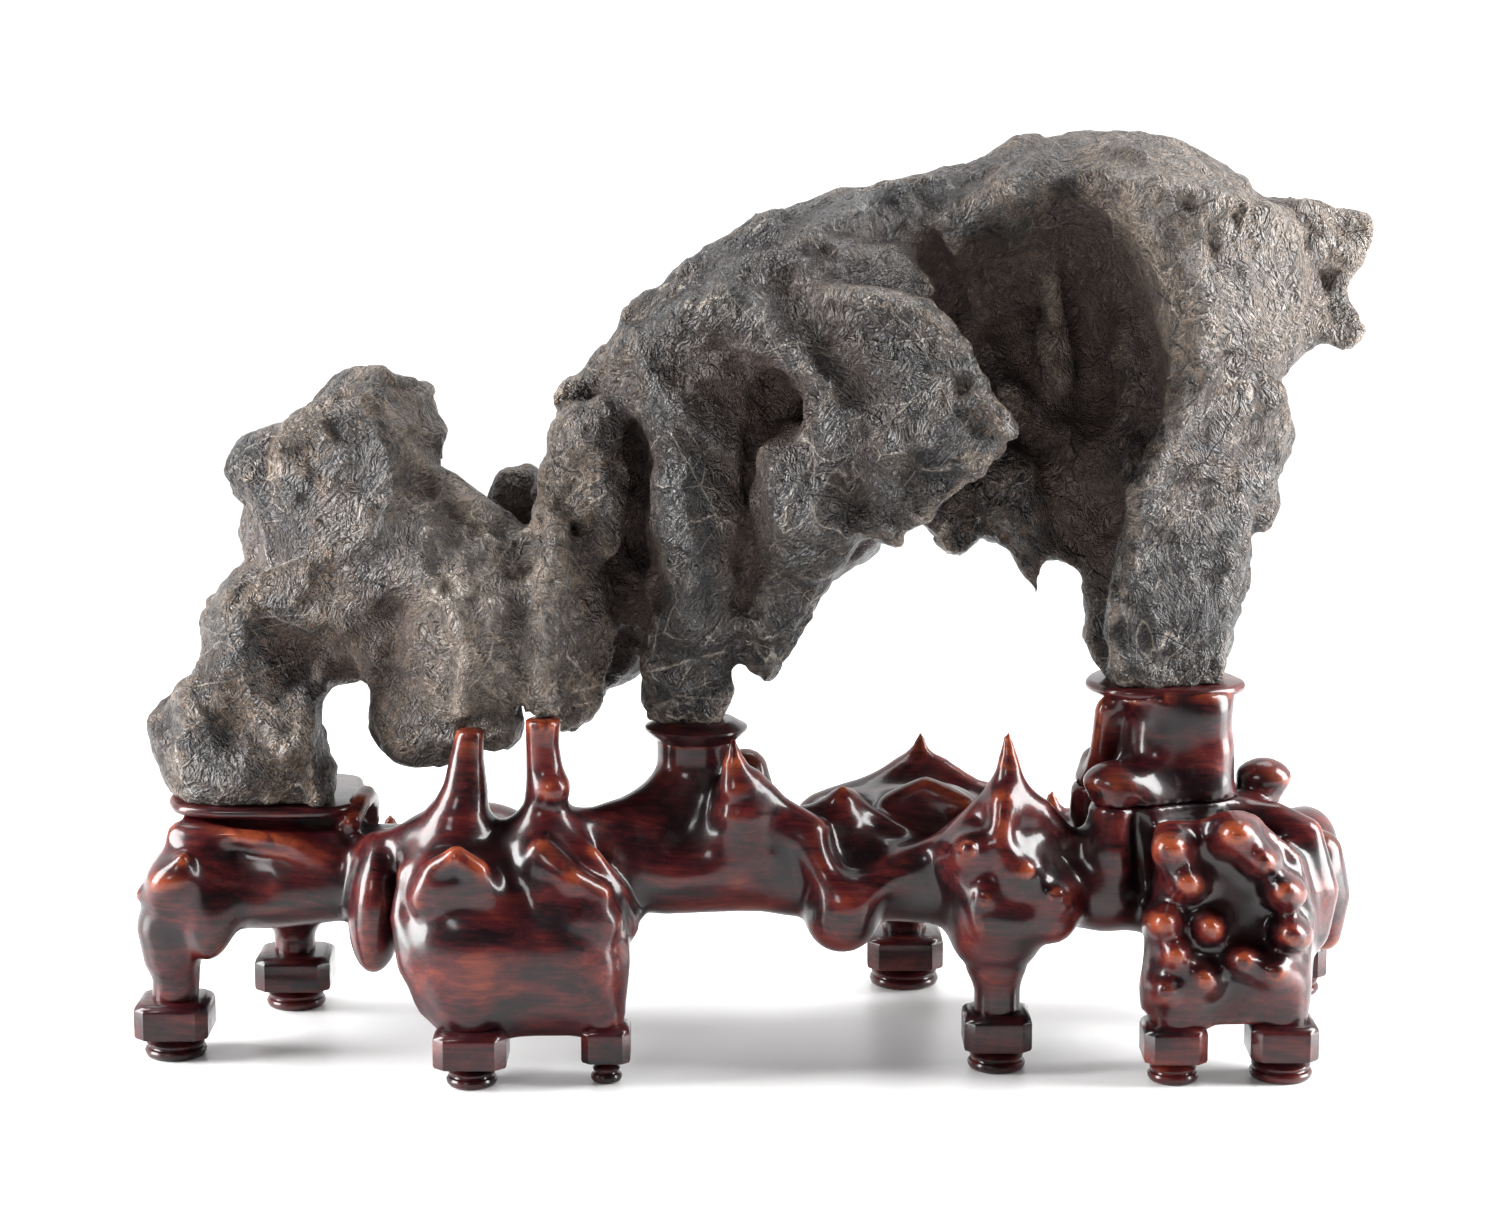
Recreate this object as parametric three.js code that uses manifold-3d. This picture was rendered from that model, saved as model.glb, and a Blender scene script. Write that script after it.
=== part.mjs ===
// A lingbi scholar stone on its carved hardwood stand.
// Millimetres, +Z up. X runs along the stone to the viewer's right and -Y points at the viewer.
// The origin is on the floor, under the middle of the whole object.
import * as THREE from "three";
import { ConvexHull } from "three/addons/math/ConvexHull.js";
import Module from "manifold-3d";

const wasm = await Module();
wasm.setup();

// Driving sizes
const SEAT = { left: 107, middle: 142, right: 157, postLeft: 144, postRight: 149 }; // where the stone rests
const SEAT_GAP = 0.4; // air left between the stone and the wood under it
const GLUE_LINE = 111; // height of the joint under the riser
const GLUE_GAP = 0.3;

// How finely each piece is worked, and how many faces it keeps
const STONE = { cell: 4.5, faces: 4200, swell: 2.4, swellLength: 27 };
const STAND = { cell: 3.4, faces: 3600 };

// Forms: each has a box that holds it and a distance that is negative inside it

function boxAround(points, margin) {
  return new THREE.Box3().setFromPoints(points.map((p) => new THREE.Vector3(...p))).expandByScalar(margin);
}

// A limb through points [x, y, z, radius].
function limb(points) {
  const widest = Math.max(...points.map((p) => p[3]));
  const stretches = points.slice(1).map((end, i) => {
    const start = points[i];
    const along = [end[0] - start[0], end[1] - start[1], end[2] - start[2]];
    return { start, along, length2: along[0] ** 2 + along[1] ** 2 + along[2] ** 2,
      widen: end[3] - start[3] };
  });
  return {
    box: boxAround(points.map((p) => p.slice(0, 3)), widest),
    distance(x, y, z) {
      let nearest = Infinity;
      for (const { start, along, length2, widen } of stretches) {
        const px = x - start[0];
        const py = y - start[1];
        const pz = z - start[2];
        const reached = (px * along[0] + py * along[1] + pz * along[2]) / length2;
        const share = Math.min(1, Math.max(0, reached));
        const away = Math.hypot(px - share * along[0], py - share * along[1], pz - share * along[2]);
        nearest = Math.min(nearest, away - start[3] - share * widen);
      }
      return nearest;
    },
  };
}

// An ellipsoid whose top leans by so many degrees towards +X.
function egg(centre, radii, lean = 0) {
  const cos = Math.cos(THREE.MathUtils.degToRad(lean));
  const sin = Math.sin(THREE.MathUtils.degToRad(lean));
  return {
    box: boxAround([centre], Math.max(...radii)),
    distance(x, y, z) {
      const dx = x - centre[0];
      const dz = z - centre[2];
      const u = (dx * cos - dz * sin) / radii[0];
      const v = (y - centre[1]) / radii[1];
      const w = (dx * sin + dz * cos) / radii[2];
      const size = Math.hypot(u, v, w);
      const slope = Math.hypot(u / radii[0], v / radii[1], w / radii[2]);
      return slope < 1e-9 ? -Math.min(...radii) : (size * (size - 1)) / slope;
    },
  };
}

// The convex block over hand-placed corners, grown outwards by a little.
function crag(corners, grow) {
  const hull = new ConvexHull().setFromPoints(corners.map((p) => new THREE.Vector3(...p)));
  const planes = hull.faces.map((face) => [face.normal.x, face.normal.y, face.normal.z, face.constant]);
  return {
    box: boxAround(corners, grow),
    distance(x, y, z) {
      let most = -Infinity;
      for (const [nx, ny, nz, constant] of planes) {
        most = Math.max(most, nx * x + ny * y + nz * z - constant);
      }
      return most - grow;
    },
  };
}

// A turned form over [x, y] with a profile of [height, radius]. deep stretches it along Y, and
// square above 2 turns its round section into a rounded square.
function turned([cx, cy], profile, { deep = 1, square = 2 } = {}) {
  const widest = Math.max(...profile.map((p) => p[1]));
  const [bottom, top] = [profile[0][0], profile[profile.length - 1][0]];
  const corners = [-1, 1].map((s) => [cx + s * widest, cy + s * widest * deep, s < 0 ? bottom : top]);
  return {
    box: boxAround(corners, 0),
    distance(x, y, z) {
      const height = Math.min(top, Math.max(bottom, z));
      const i = Math.max(1, profile.findIndex((p) => p[0] >= height));
      const [[z0, r0], [z1, r1]] = [profile[i - 1], profile[i]];
      const radius = r0 + ((r1 - r0) * (height - z0)) / (z1 - z0);
      const steep = 1 / Math.hypot(1, (r1 - r0) / (z1 - z0));
      const across = (Math.abs(x - cx) ** square + Math.abs((y - cy) / deep) ** square) ** (1 / square);
      return Math.max((across - radius) * steep, bottom - z, z - top);
    },
  };
}

// A block of clay: a lattice of distances to which forms are added, and from which they are carved

class Clay {
  constructor(low, high, cell) {
    this.low = low;
    this.cell = cell;
    this.count = high.map((h, i) => Math.ceil((h - low[i]) / cell) + 1);
    this.values = new Float32Array(this.count[0] * this.count[1] * this.count[2]).fill(10 * cell);
  }

  work(form, reach, change) {
    const nearest = (point, spare, round) =>
      point.toArray().map((c, i) => {
        const step = round((c + spare - this.low[i]) / this.cell);
        return Math.min(this.count[i] - 1, Math.max(0, step));
      });
    const first = nearest(form.box.min, -reach, Math.floor);
    const last = nearest(form.box.max, reach, Math.ceil);
    for (let k = first[2]; k <= last[2]; k++) {
      for (let j = first[1]; j <= last[1]; j++) {
        for (let i = first[0]; i <= last[0]; i++) {
          const at = (k * this.count[1] + j) * this.count[0] + i;
          const [x, y, z] = [i, j, k].map((n, axis) => this.low[axis] + n * this.cell);
          this.values[at] = change(this.values[at], form.distance(x, y, z));
        }
      }
    }
  }

  add(form, blend) {
    this.work(form, blend + 2 * this.cell, (old, here) => {
      const near = Math.max(0, 1 - Math.abs(old - here) / blend);
      return Math.min(old, here) - (near * near * blend) / 4;
    });
  }

  carve(form, blend) {
    this.work(form, blend + 2 * this.cell, (old, here) => {
      const near = Math.max(0, 1 - Math.abs(old + here) / blend);
      return Math.max(old, -here) + (near * near * blend) / 4;
    });
  }
}

// The six tetrahedra round a cell's long diagonal. A corner is three bits: its steps along X, Y and Z.
const FAR_CORNER = 7;
const AXIS_ORDERS = [[0, 1, 2], [1, 2, 0], [2, 0, 1], [0, 2, 1], [2, 1, 0], [1, 0, 2]];
const TETRAHEDRA = AXIS_ORDERS.map(([a, b]) => [0, 1 << a, (1 << a) | (1 << b), FAR_CORNER]);

function handedness(corners) {
  const [a, b, c, d] = corners.map((bits) => new THREE.Vector3(bits & 1, (bits >> 1) & 1, bits >> 2));
  return b.sub(a).dot(c.sub(a).cross(d.sub(a)));
}

// The triangles across a tetrahedron, as pairs of corners whose edge each point lies on.
function crossings(corners, inside) {
  const within = corners.filter((_, i) => inside & (1 << i));
  const order = [...within, ...corners.filter((_, i) => !(inside & (1 << i)))];
  if (!within.length || within.length === 4) return [];
  if (handedness(order) < 0) {
    const swap = within.length === 3 ? 0 : 2;
    [order[swap], order[swap + 1]] = [order[swap + 1], order[swap]];
  }
  const [p, q, r, s] = order;
  if (within.length === 1) return [[[p, q], [p, r], [p, s]]];
  if (within.length === 3) return [[[p, s], [q, s], [r, s]]];
  return [[[p, r], [p, s], [q, s]], [[p, r], [q, s], [q, r]]];
}

const MASKS = Array.from({ length: 16 }, (_, inside) => inside);
const CASES = TETRAHEDRA.map((corners) => MASKS.map((inside) => crossings(corners, inside)));

// The closed surface where the clay's distance is 0.
function surfaceOf(clay) {
  const [nx, ny, nz] = clay.count;
  const offset = (bits) => (bits & 1) + ((bits >> 1) & 1) * nx + (bits >> 2) * nx * ny;
  const positions = [];
  const triangles = [];
  const known = new Map();
  const point = (cell, [a, b]) => {
    const [start, end] = [cell + offset(a & b), cell + offset(a | b)];
    const key = start * 8 + (a ^ b);
    if (!known.has(key)) {
      const [from, to] = [clay.values[start], clay.values[end]];
      const share = Math.min(0.95, Math.max(0.05, from / (from - to)));
      const steps = [start % nx, Math.floor(start / nx) % ny, Math.floor(start / (nx * ny))];
      const moved = steps.map((n, axis) => n + share * (((a ^ b) >> axis) & 1));
      known.set(key, positions.length);
      positions.push(new THREE.Vector3(...moved.map((n, axis) => clay.low[axis] + n * clay.cell)));
    }
    return known.get(key);
  };
  const cross = (cell) => {
    let inside = 0;
    for (let bits = 0; bits <= FAR_CORNER; bits++) {
      if (clay.values[cell + offset(bits)] < 0) inside |= 1 << bits;
    }
    if (inside === 0 || inside === 255) return;
    TETRAHEDRA.forEach((corners, which) => {
      const mask = corners.reduce((sum, bits, n) => sum | (((inside >> bits) & 1) << n), 0);
      for (const face of CASES[which][mask]) {
        triangles.push(face.map((edge) => point(cell, edge)));
      }
    });
  };
  for (let k = 0; k < nz - 1; k++) {
    for (let j = 0; j < ny - 1; j++) {
      for (let i = 0; i < nx - 1; i++) cross((k * ny + j) * nx + i);
    }
  }
  return { positions, triangles };
}

// Thins a surface by closing its cheapest edges, by quadric error, until it has so many faces
function thinned({ positions, triangles }, wanted) {
  const KEEP_PLACE = 6e-4; // a little pull to the old places keeps the faces even on flat ground
  const LEAST_TURN = 0.2; // how far a face may turn, as the cosine between its old and new normals
  const faces = triangles.map((t) => [...t]);
  const around = positions.map(() => new Set());
  faces.forEach((face, f) => face.forEach((v) => around[v].add(f)));
  const stamp = new Uint32Array(positions.length);
  const normal = new THREE.Vector3();
  const side = new THREE.Vector3();
  const normalOf = (a, b, c) => normal.subVectors(b, a).cross(side.subVectors(c, a));

  // A quadric is the upper half of a 3x3 matrix, a vector and a constant.
  const quadrics = positions.map(() => new Float64Array(10));
  const addPlane = (q, n, d, weight) => {
    q[0] += weight * n.x * n.x;
    q[1] += weight * n.x * n.y;
    q[2] += weight * n.x * n.z;
    q[3] += weight * n.y * n.y;
    q[4] += weight * n.y * n.z;
    q[5] += weight * n.z * n.z;
    q[6] += weight * n.x * d;
    q[7] += weight * n.y * d;
    q[8] += weight * n.z * d;
    q[9] += weight * d * d;
  };
  const AXES = [new THREE.Vector3(1, 0, 0), new THREE.Vector3(0, 1, 0), new THREE.Vector3(0, 0, 1)];
  for (const face of faces) {
    const [a, b, c] = face.map((v) => positions[v]);
    normalOf(a, b, c);
    const area = normal.length() / 2;
    if (area > 0) normal.normalize();
    for (const v of face) {
      addPlane(quadrics[v], normal, -normal.dot(a), area);
      for (const axis of AXES) addPlane(quadrics[v], axis, -axis.dot(positions[v]), area * KEEP_PLACE);
    }
  }

  // The cheapest place for the point that takes over from a and b, and what it costs.
  const best = (a, b) => {
    const [p, q] = [quadrics[a], quadrics[b]];
    const [xx, xy, xz, yy, yz, zz] = p.slice(0, 6).map((value, i) => value + q[i]);
    const [x, y, z] = [-p[6] - q[6], -p[7] - q[7], -p[8] - q[8]];
    const rest = p[9] + q[9];
    const [cx, cy, cz] = [yy * zz - yz * yz, xz * yz - xy * zz, xy * yz - xz * yy];
    const whole = xx * cx + xy * cy + xz * cz;
    const place = new THREE.Vector3(
      (cx * x + cy * y + cz * z) / whole,
      (cy * x + (xx * zz - xz * xz) * y + (xy * xz - xx * yz) * z) / whole,
      (cz * x + (xy * xz - xx * yz) * y + (xx * yy - xy * xy) * z) / whole,
    );
    return { place, cost: rest - x * place.x - y * place.y - z * place.z };
  };
  const neighbours = (v) => {
    const found = new Set();
    for (const f of around[v]) for (const w of faces[f]) if (w !== v) found.add(w);
    return found;
  };

  // A heap of edges, cheapest first; an edge is stale once either end has moved.
  const heap = [];
  const swap = (i, j) => ([heap[i], heap[j]] = [heap[j], heap[i]]);
  const push = (a, b) => {
    heap.push({ a, b, stamps: stamp[a] + stamp[b], ...best(a, b) });
    let i = heap.length - 1;
    while (i > 0 && heap[(i - 1) >> 1].cost > heap[i].cost) {
      swap(i, (i - 1) >> 1);
      i = (i - 1) >> 1;
    }
  };
  const pop = () => {
    swap(0, heap.length - 1);
    const least = heap.pop();
    for (let i = 0; 2 * i + 1 < heap.length; ) {
      const right = 2 * i + 2 < heap.length && heap[2 * i + 2].cost < heap[2 * i + 1].cost;
      const child = 2 * i + 1 + (right ? 1 : 0);
      if (heap[i].cost <= heap[child].cost) break;
      swap(i, child);
      i = child;
    }
    return least;
  };
  positions.forEach((_, v) => {
    for (const w of neighbours(v)) if (v < w) push(v, w);
  });

  // Closing an edge may turn no face over.
  const before = new THREE.Vector3();
  const turnsOver = (moving, other, place) => {
    for (const f of around[moving]) {
      if (faces[f].includes(other)) continue;
      const [a, b, c] = faces[f].map((v) => positions[v]);
      before.copy(normalOf(a, b, c));
      const [d, e, g] = faces[f].map((v) => (v === moving ? place : positions[v]));
      normalOf(d, e, g);
      if (before.dot(normal) < LEAST_TURN * before.length() * normal.length()) return true;
    }
    return false;
  };

  let left = faces.length;
  while (left > wanted && heap.length) {
    const { a, b, stamps, place } = pop();
    if (!around[a].size || !around[b].size || stamps !== stamp[a] + stamp[b]) continue;
    const beside = neighbours(b);
    const shared = [...neighbours(a)].filter((v) => beside.has(v));
    if (!beside.has(a) || shared.length !== 2 || turnsOver(a, b, place) || turnsOver(b, a, place)) continue;
    for (const f of around[b]) {
      if (faces[f].includes(a)) {
        for (const v of faces[f]) if (v !== b) around[v].delete(f);
        faces[f] = null;
        left--;
      } else {
        faces[f][faces[f].indexOf(b)] = a;
        around[a].add(f);
      }
    }
    around[b].clear();
    positions[a] = place;
    quadrics[a].forEach((_, i) => (quadrics[a][i] += quadrics[b][i]));
    stamp[a] += 1;
    for (const v of neighbours(a)) push(a, v);
  }
  return { positions, triangles: faces.filter(Boolean) };
}

// A piece being worked. Its forms are given as they look from the front: x and z on a plane through the
// piece, y as the real depth. Each is moved along the sight line from the eye to that depth.
const EYE = { y: -1430, z: 438 };

class Piece {
  constructor(low, high, cell, plane) {
    this.clay = new Clay(low, high, cell);
    this.plane = plane;
  }

  place([x, y, z, ...radius]) {
    const back = (y - this.plane) / (this.plane - EYE.y);
    return [x * (1 + back), y, z + (z - EYE.z) * back, ...radius];
  }

  limb(points, blend = 8) {
    this.clay.add(limb(points.map((p) => this.place(p))), blend);
  }

  // A leg is measured on the floor, so it is already where it belongs.
  leg(points, blend = 8) {
    this.clay.add(limb(points), blend);
  }

  lump(centre, radii, blend = 8, lean = 0) {
    this.clay.add(egg(this.place(centre), radii, lean), blend);
  }

  crag(corners, blend = 8, grow = 2) {
    this.clay.add(crag(corners.map((p) => this.place(p)), grow), blend);
  }

  pit(centre, radii, blend = 8, lean = 0) {
    this.clay.carve(egg(this.place(centre), radii, lean), blend);
  }

  groove(points, blend = 8) {
    this.clay.carve(limb(points.map((p) => this.place(p))), blend);
  }

  // Wears the edges round by evening out the lattice with its neighbours along each axis.
  wear(passes) {
    const { count, values } = this.clay;
    for (const stride of Array(passes).fill([1, count[0], count[0] * count[1]]).flat()) {
      const old = values.slice();
      for (let n = stride; n < values.length - stride; n++) {
        values[n] = old[n] / 2 + (old[n - stride] + old[n + stride]) / 4;
      }
    }
  }

  // Lets the surface swell and sink unevenly, like weathered rock.
  weather(height, length) {
    const { low, cell, count, values } = this.clay;
    const REACH = 4; // cells from the surface that are worked
    for (let n = 0; n < values.length; n++) {
      if (Math.abs(values[n]) > REACH * cell) continue;
      const steps = [n % count[0], Math.floor(n / count[0]) % count[1],
        Math.floor(n / (count[0] * count[1]))];
      values[n] += height * swellAt(steps.map((step, axis) => (low[axis] + step * cell) / length));
    }
  }
}

// A value from -1 to 1 for each corner of a lattice
function cornerValue(i, j, k) {
  const mixed = Math.imul((i * 73856093) ^ (j * 19349663) ^ (k * 83492791), 0x5bd1e995);
  return ((mixed ^ (mixed >>> 15)) >>> 0) / 2 ** 31 - 1;
}

// The corners' values, blended smoothly at a place between them
function swellAt(place) {
  const SHIFT = 40; // keeps the lattice clear of negative steps
  const moved = place.map((p) => p + SHIFT);
  const base = moved.map(Math.floor);
  const eased = moved.map((p, axis) => {
    const t = p - base[axis];
    return t * t * (3 - 2 * t);
  });
  let swell = 0;
  for (let bits = 0; bits <= FAR_CORNER; bits++) {
    const steps = [bits & 1, (bits >> 1) & 1, bits >> 2];
    const shares = steps.map((step, axis) => (step ? eased[axis] : 1 - eased[axis]));
    swell += cornerValue(...steps.map((step,
      axis) => base[axis] + step)) * shares[0] * shares[1] * shares[2];
  }
  return swell;
}

// The stone

// The left foot and the waist over it
function leftFoot(piece) {
  piece.crag([
    [-236, -22, 109], [-176, -26, 108], [-174, -22, 120], [-243, -8, 118], [-246, -12, 132], [-245, -10,
    146],
    [-238, -14, 157], [-226, -24, 165], [-214, -34, 160], [-200, -38, 150], [-190, -38, 130],
    [-196, -36, 112], [-226, -34, 116], [-232, -32, 136], [-184, -36, 158], [-178, -24, 158], [-176, -20,
    140],
    [-236, 24, 112], [-240, 20, 140], [-228, 26, 162], [-184, 26, 164], [-176, 24, 112],
  ], 6, 1);
  piece.lump([-222, -20, 150], [17, 17, 15], 6);
  piece.lump([-206, -26, 124], [18, 15, 14], 6);
  piece.pit([-217, -47, 140], [9, 13, 12], 5, 12);
  piece.limb([[-184, -35, 157, 3.5], [-182, -37, 130, 3], [-181, -34, 108, 3]], 4);
  piece.crag([
    [-222, -12, 174], [-225, -10, 184], [-221, -12, 194], [-212, -20, 203], [-200, -22, 206], [-188, -22,
    200],
    [-186, -24, 168], [-206, -34, 172], [-206, -34, 192], [-220, -16, 166],
    [-221, 20, 176], [-220, 20, 196], [-204, 22, 204], [-188, 24, 200], [-188, 24, 166], [-220, 22, 166],
  ], 10, 1);
  piece.lump([-206, -20, 168], [19, 18, 13], 8);
  piece.lump([-209, -24, 188], [12, 14, 14], 5);
  piece.pit([-191, -40, 187], [9, 15, 8], 4, -20);
  piece.limb([[-195, 12, 200, 18], [-160, 16, 192, 26], [-130, 12, 196, 28]]);
  piece.limb([[-192, -4, 196, 18], [-160, 0, 188, 20]], 6);
  piece.limb([[-186, 2, 172, 8], [-178, -10, 172, 7], [-160, -14, 169, 6]], 5);
  piece.limb([[-180, -16, 182, 5], [-164, -20, 176, 5], [-150, -20, 182, 6]], 4);
  piece.limb([[-185, 22, 170, 8], [-165, 24, 176, 10]]);
}

// The head at the left, with the valley between it and the chest
function head(piece) {
  piece.crag([
    [-187, -34, 267], [-190, -32, 245], [-182, -36, 226], [-168, -42, 215], [-153, -44, 222],
    [-147, -44, 240], [-132, -36, 253], [-140, -38, 265], [-149, -34, 279], [-151, -24, 290],
    [-163, -20, 289], [-171, -24, 279], [-187, 28, 262], [-185, 28, 228], [-150, 28, 220], [-132, 24, 252],
    [-148, 24, 288], [-164, 24, 290],
  ], 5, 1);
  piece.crag([
    [-151, -25, 290], [-143, -15, 286], [-132, -8, 283], [-129, -6, 277], [-123, -6, 266], [-127, -14, 252],
    [-132, -33, 252], [-140, -35, 265], [-146, 22, 286], [-130, 18, 280], [-124, 18, 264], [-128, 20, 250],
  ], 3, 0.5);
  piece.lump([-136, -2, 278], [9, 18, 8], 3);
  piece.lump([-130, -4, 263], [9, 18, 8], 3);
  piece.lump([-200, -8, 249], [13, 22, 16], 5);
  piece.crag([
    [-211, -12, 240], [-213, -8, 250], [-206, -14, 260], [-196, -20, 266], [-187, -30, 267], [-191, -33,
    246],
    [-188, -30, 232], [-203, -20, 234], [-209, 16, 242], [-204, 20, 258], [-190, 24, 262], [-190, 24, 232],
  ], 4, 1);
  piece.crag([
    [-208, -4, 233], [-209, -4, 224], [-202, -8, 212], [-195, -14, 208], [-190, -22, 215], [-192, -24, 232],
    [-206, 14, 231], [-206, 12, 222], [-197, 14, 210], [-190, 16, 230],
  ], 4, 1);
  piece.limb([[-187, -33, 268, 2.5], [-190, -33, 250, 2.5], [-187, -34, 232, 2.5]], 4);
  piece.limb([[-186, -30, 268, 2.5], [-172, -27, 279, 2.5], [-160, -24, 289, 3]], 4);
  piece.limb([[-180, 4, 214, 22], [-170, 6, 190, 22]], 6);
  piece.pit([-162, -50, 208], [18, 18, 8], 5, 60);
  piece.pit([-146, -54, 215], [9, 26, 20], 5, 14);
  piece.limb([[-168, 12, 226, 20], [-144, 12, 216, 20], [-122, 6, 206, 20]], 6);
}

// The neck and the chest that hangs over the posts
function chest(piece) {
  piece.crag([
    [-146, -38, 240], [-132, -33, 253], [-121, -26, 245], [-112, -26, 236], [-100, -28, 229], [-92, -38,
    222],
    [-108, -46, 216], [-132, -44, 222], [-134, 24, 250], [-104, 22, 230], [-92, 22, 220], [-100, 30, 200],
    [-140, 28, 215],
  ], 5, 1);
  piece.crag([
    [-134, -46, 205], [-118, -52, 200], [-108, -47, 222], [-94, -44, 222], [-95, -50, 200], [-95, -54, 160],
    [-96, -48, 150], [-118, -48, 149], [-116, -57, 174], [-120, -34, 150], [-130, -30, 200], [-96, -30,
    150],
    [-125, 25, 222], [-95, 25, 222], [-96, 25, 152], [-122, 25, 154],
  ], 4, 1);
  piece.crag([
    [-143, -36, 197], [-149, -28, 188], [-151, -28, 165], [-142, -36, 138], [-122, -42, 136], [-117, -50,
    160],
    [-120, -52, 190], [-134, -46, 204], [-146, 20, 190], [-148, 20, 160], [-138, 20, 140], [-120, 20, 138],
  ], 4, 1);
  piece.limb([[-142, -38, 198, 2.5], [-135, -47, 203, 3], [-122, -53, 193, 3], [-116, -57, 172, 3],
      [-119, -51, 148, 3]], 4);
  piece.lump([-141, -12, 148], [17, 28, 22], 6);
  piece.lump([-132, -16, 142], [16, 22, 16], 6);
  piece.lump([-137, -4, 139], [12, 16, 11], 5);
  piece.lump([-105, -30, 144], [12, 18, 10], 4);
  piece.crag([
    [-80, -45, 226], [-62, -32, 216], [-58, -30, 178], [-60, -28, 153], [-65, -28, 145], [-78, -38, 140],
    [-82, -46, 170], [-77, -48, 200], [-88, -40, 150], [-88, -42, 222], [-86, 24, 222], [-60, 22, 215],
    [-60, 22, 168], [-70, 20, 148], [-88, 22, 152],
  ], 4, 1);
  piece.limb([[-83, -42, 228, 8], [-81, -45, 206, 9]], 5);
  piece.limb([[-85, -49, 204, 6.5], [-85.5, -51, 180, 6.5], [-86, -51, 148, 6.5]], 4);
  piece.groove([[-93, -62, 146, 5.5], [-93, -62, 185, 5], [-92, -56, 226, 3.5]], 3);
  piece.crag([
    [-106, 22, 234], [-105, 24, 243], [-100, 24, 249], [-90, 24, 249], [-84, 20, 240], [-88, 16, 226],
    [-104, 42, 238], [-98, 44, 248], [-88, 44, 246], [-86, 40, 228],
  ], 4, 1);
  piece.limb([[-62, 14, 212, 20], [-46, 10, 200, 22], [-30, 0, 190, 18]]);
}

// The knob, its pillar and the recess beside it
function knob(piece) {
  piece.limb([[-64, 0, 238, 20], [-56, 6, 268, 19]], 6);
  piece.lump([-69, -24, 263], [14, 19, 13.5], 3);
  piece.crag([
    [-80, -16, 276], [-76, -16, 283], [-66, -14, 279], [-62, -12, 292], [-70, 16, 290], [-78, 14, 284],
    [-60, 16, 296], [-62, 10, 270], [-78, 8, 270],
  ], 4, 0.5);
  piece.limb([[-60, -30, 274, 8], [-58, -32, 248, 8], [-61, -34, 218, 8]], 6);
  piece.pit([-70, -46, 243], [9, 9, 9], 6, 8);
  piece.limb([[-80, -30, 250, 5], [-84, -32, 232, 6]], 5);
}

// The middle of the arch, up to its highest shoulder
function archMiddle(piece) {
  piece.crag([
    [-55, -10, 300], [-50, -14, 314], [-40, -16, 320], [-26, -20, 327], [-6, -25, 347], [14, -25, 357],
    [40, -25, 363], [64, -23, 368], [84, -20, 371], [-50, -32, 276], [-30, -42, 264], [40, -45, 300],
    [-46, 35, 300], [0, 42, 342], [60, 46, 362], [90, 46, 368], [-46, 42, 250], [40, 52, 250], [90, 50,
    262],
    [-20, -34, 318], [20, -38, 340],
  ], 6, 1);
  piece.crag([
    [-68, -8, 280], [-69, -6, 289], [-66, -6, 295], [-58, -8, 297], [-50, -16, 306], [-46, -30, 290],
    [-52, -30, 268], [-62, 14, 292], [-50, 18, 304], [-56, 16, 270],
  ], 3, 0.5);
  piece.crag([
    [-44, -22, 270], [-40, -25, 200], [-36, -20, 172], [0, -30, 174], [22, -36, 200], [44, -36, 222],
    [50, -36, 262], [-44, 36, 270], [-38, 30, 190], [-8, 30, 175], [28, 36, 205], [60, 36, 226],
    [60, 36, 270],
  ], 6, 1);
  piece.pit([-46, -52, 214], [7, 19, 40], 6);
  piece.pit([-50, -44, 258], [5, 9, 18], 6, 12);
  piece.limb([[-70, 14, 244, 18], [-46, 16, 238, 20], [-30, 12, 256, 20]], 6);
  piece.limb([[-46, -28, 298, 9], [-36, -32, 282, 10], [-28, -36, 262, 13], [-26, -38, 236, 14],
      [-25, -36, 210, 14], [-24, -30, 190, 13]], 8);
  piece.limb([[-16, -34, 268, 12], [-15, -36, 240, 12], [-17, -32, 210, 13], [-20, -28, 185, 14]], 6);
  piece.lump([23, -36, 234], [21, 22, 32], 4, -6);
  piece.crag([[4, -44, 258], [34, -48, 261], [42, -46, 240], [40, -42, 222], [10, -44, 204], [4, -38, 196],
      [6, -10, 190], [36, -10, 222], [10, 0, 256], [20, 0, 200]], 4, 1);
  piece.pit([-3, -58, 222], [5, 28, 42], 3, 2);
  piece.limb([[-28, -32, 308, 9], [-10, -36, 318, 10], [6, -40, 310, 10], [20, -44, 296, 11],
      [32, -46, 280, 12], [38, -46, 262, 12]], 12);
  piece.pit([10, -56, 277], [14, 32, 13], 4, -8);
  piece.pit([-8, -56, 284], [20, 16, 18], 10);
  piece.crag([
    [-12, -34, 334], [28, -40, 342], [58, -40, 340], [78, -44, 322], [44, -50, 304], [4, -42, 300],
    [-12, 20, 330], [72, 20, 336], [62, 20, 300], [4, 20, 300],
  ], 8, 1);
}

// The foot in the socket, and the flake that hangs beside it
function secondFoot(piece) {
  piece.crag([
    [-43, -28, 160], [-42, -28, 143], [-14, -28, 142], [-12, -28, 152], [-6, -28, 166], [-8, -34, 188],
    [-38, -38, 190], [-43, -34, 174], [-38, 8, 188], [-38, 6, 144], [-16, 6, 144], [-8, 8, 186],
  ], 4, 1);
  piece.crag([
    [-3, -32, 166], [7, -30, 160], [9, -30, 163], [14, -30, 172], [24, -34, 189], [33, -34, 206],
    [10, -42, 206], [-5, -38, 190], [0, 6, 170], [8, 6, 166], [26, 10, 196], [6, 10, 200],
  ], 3, 0.3);
}

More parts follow.
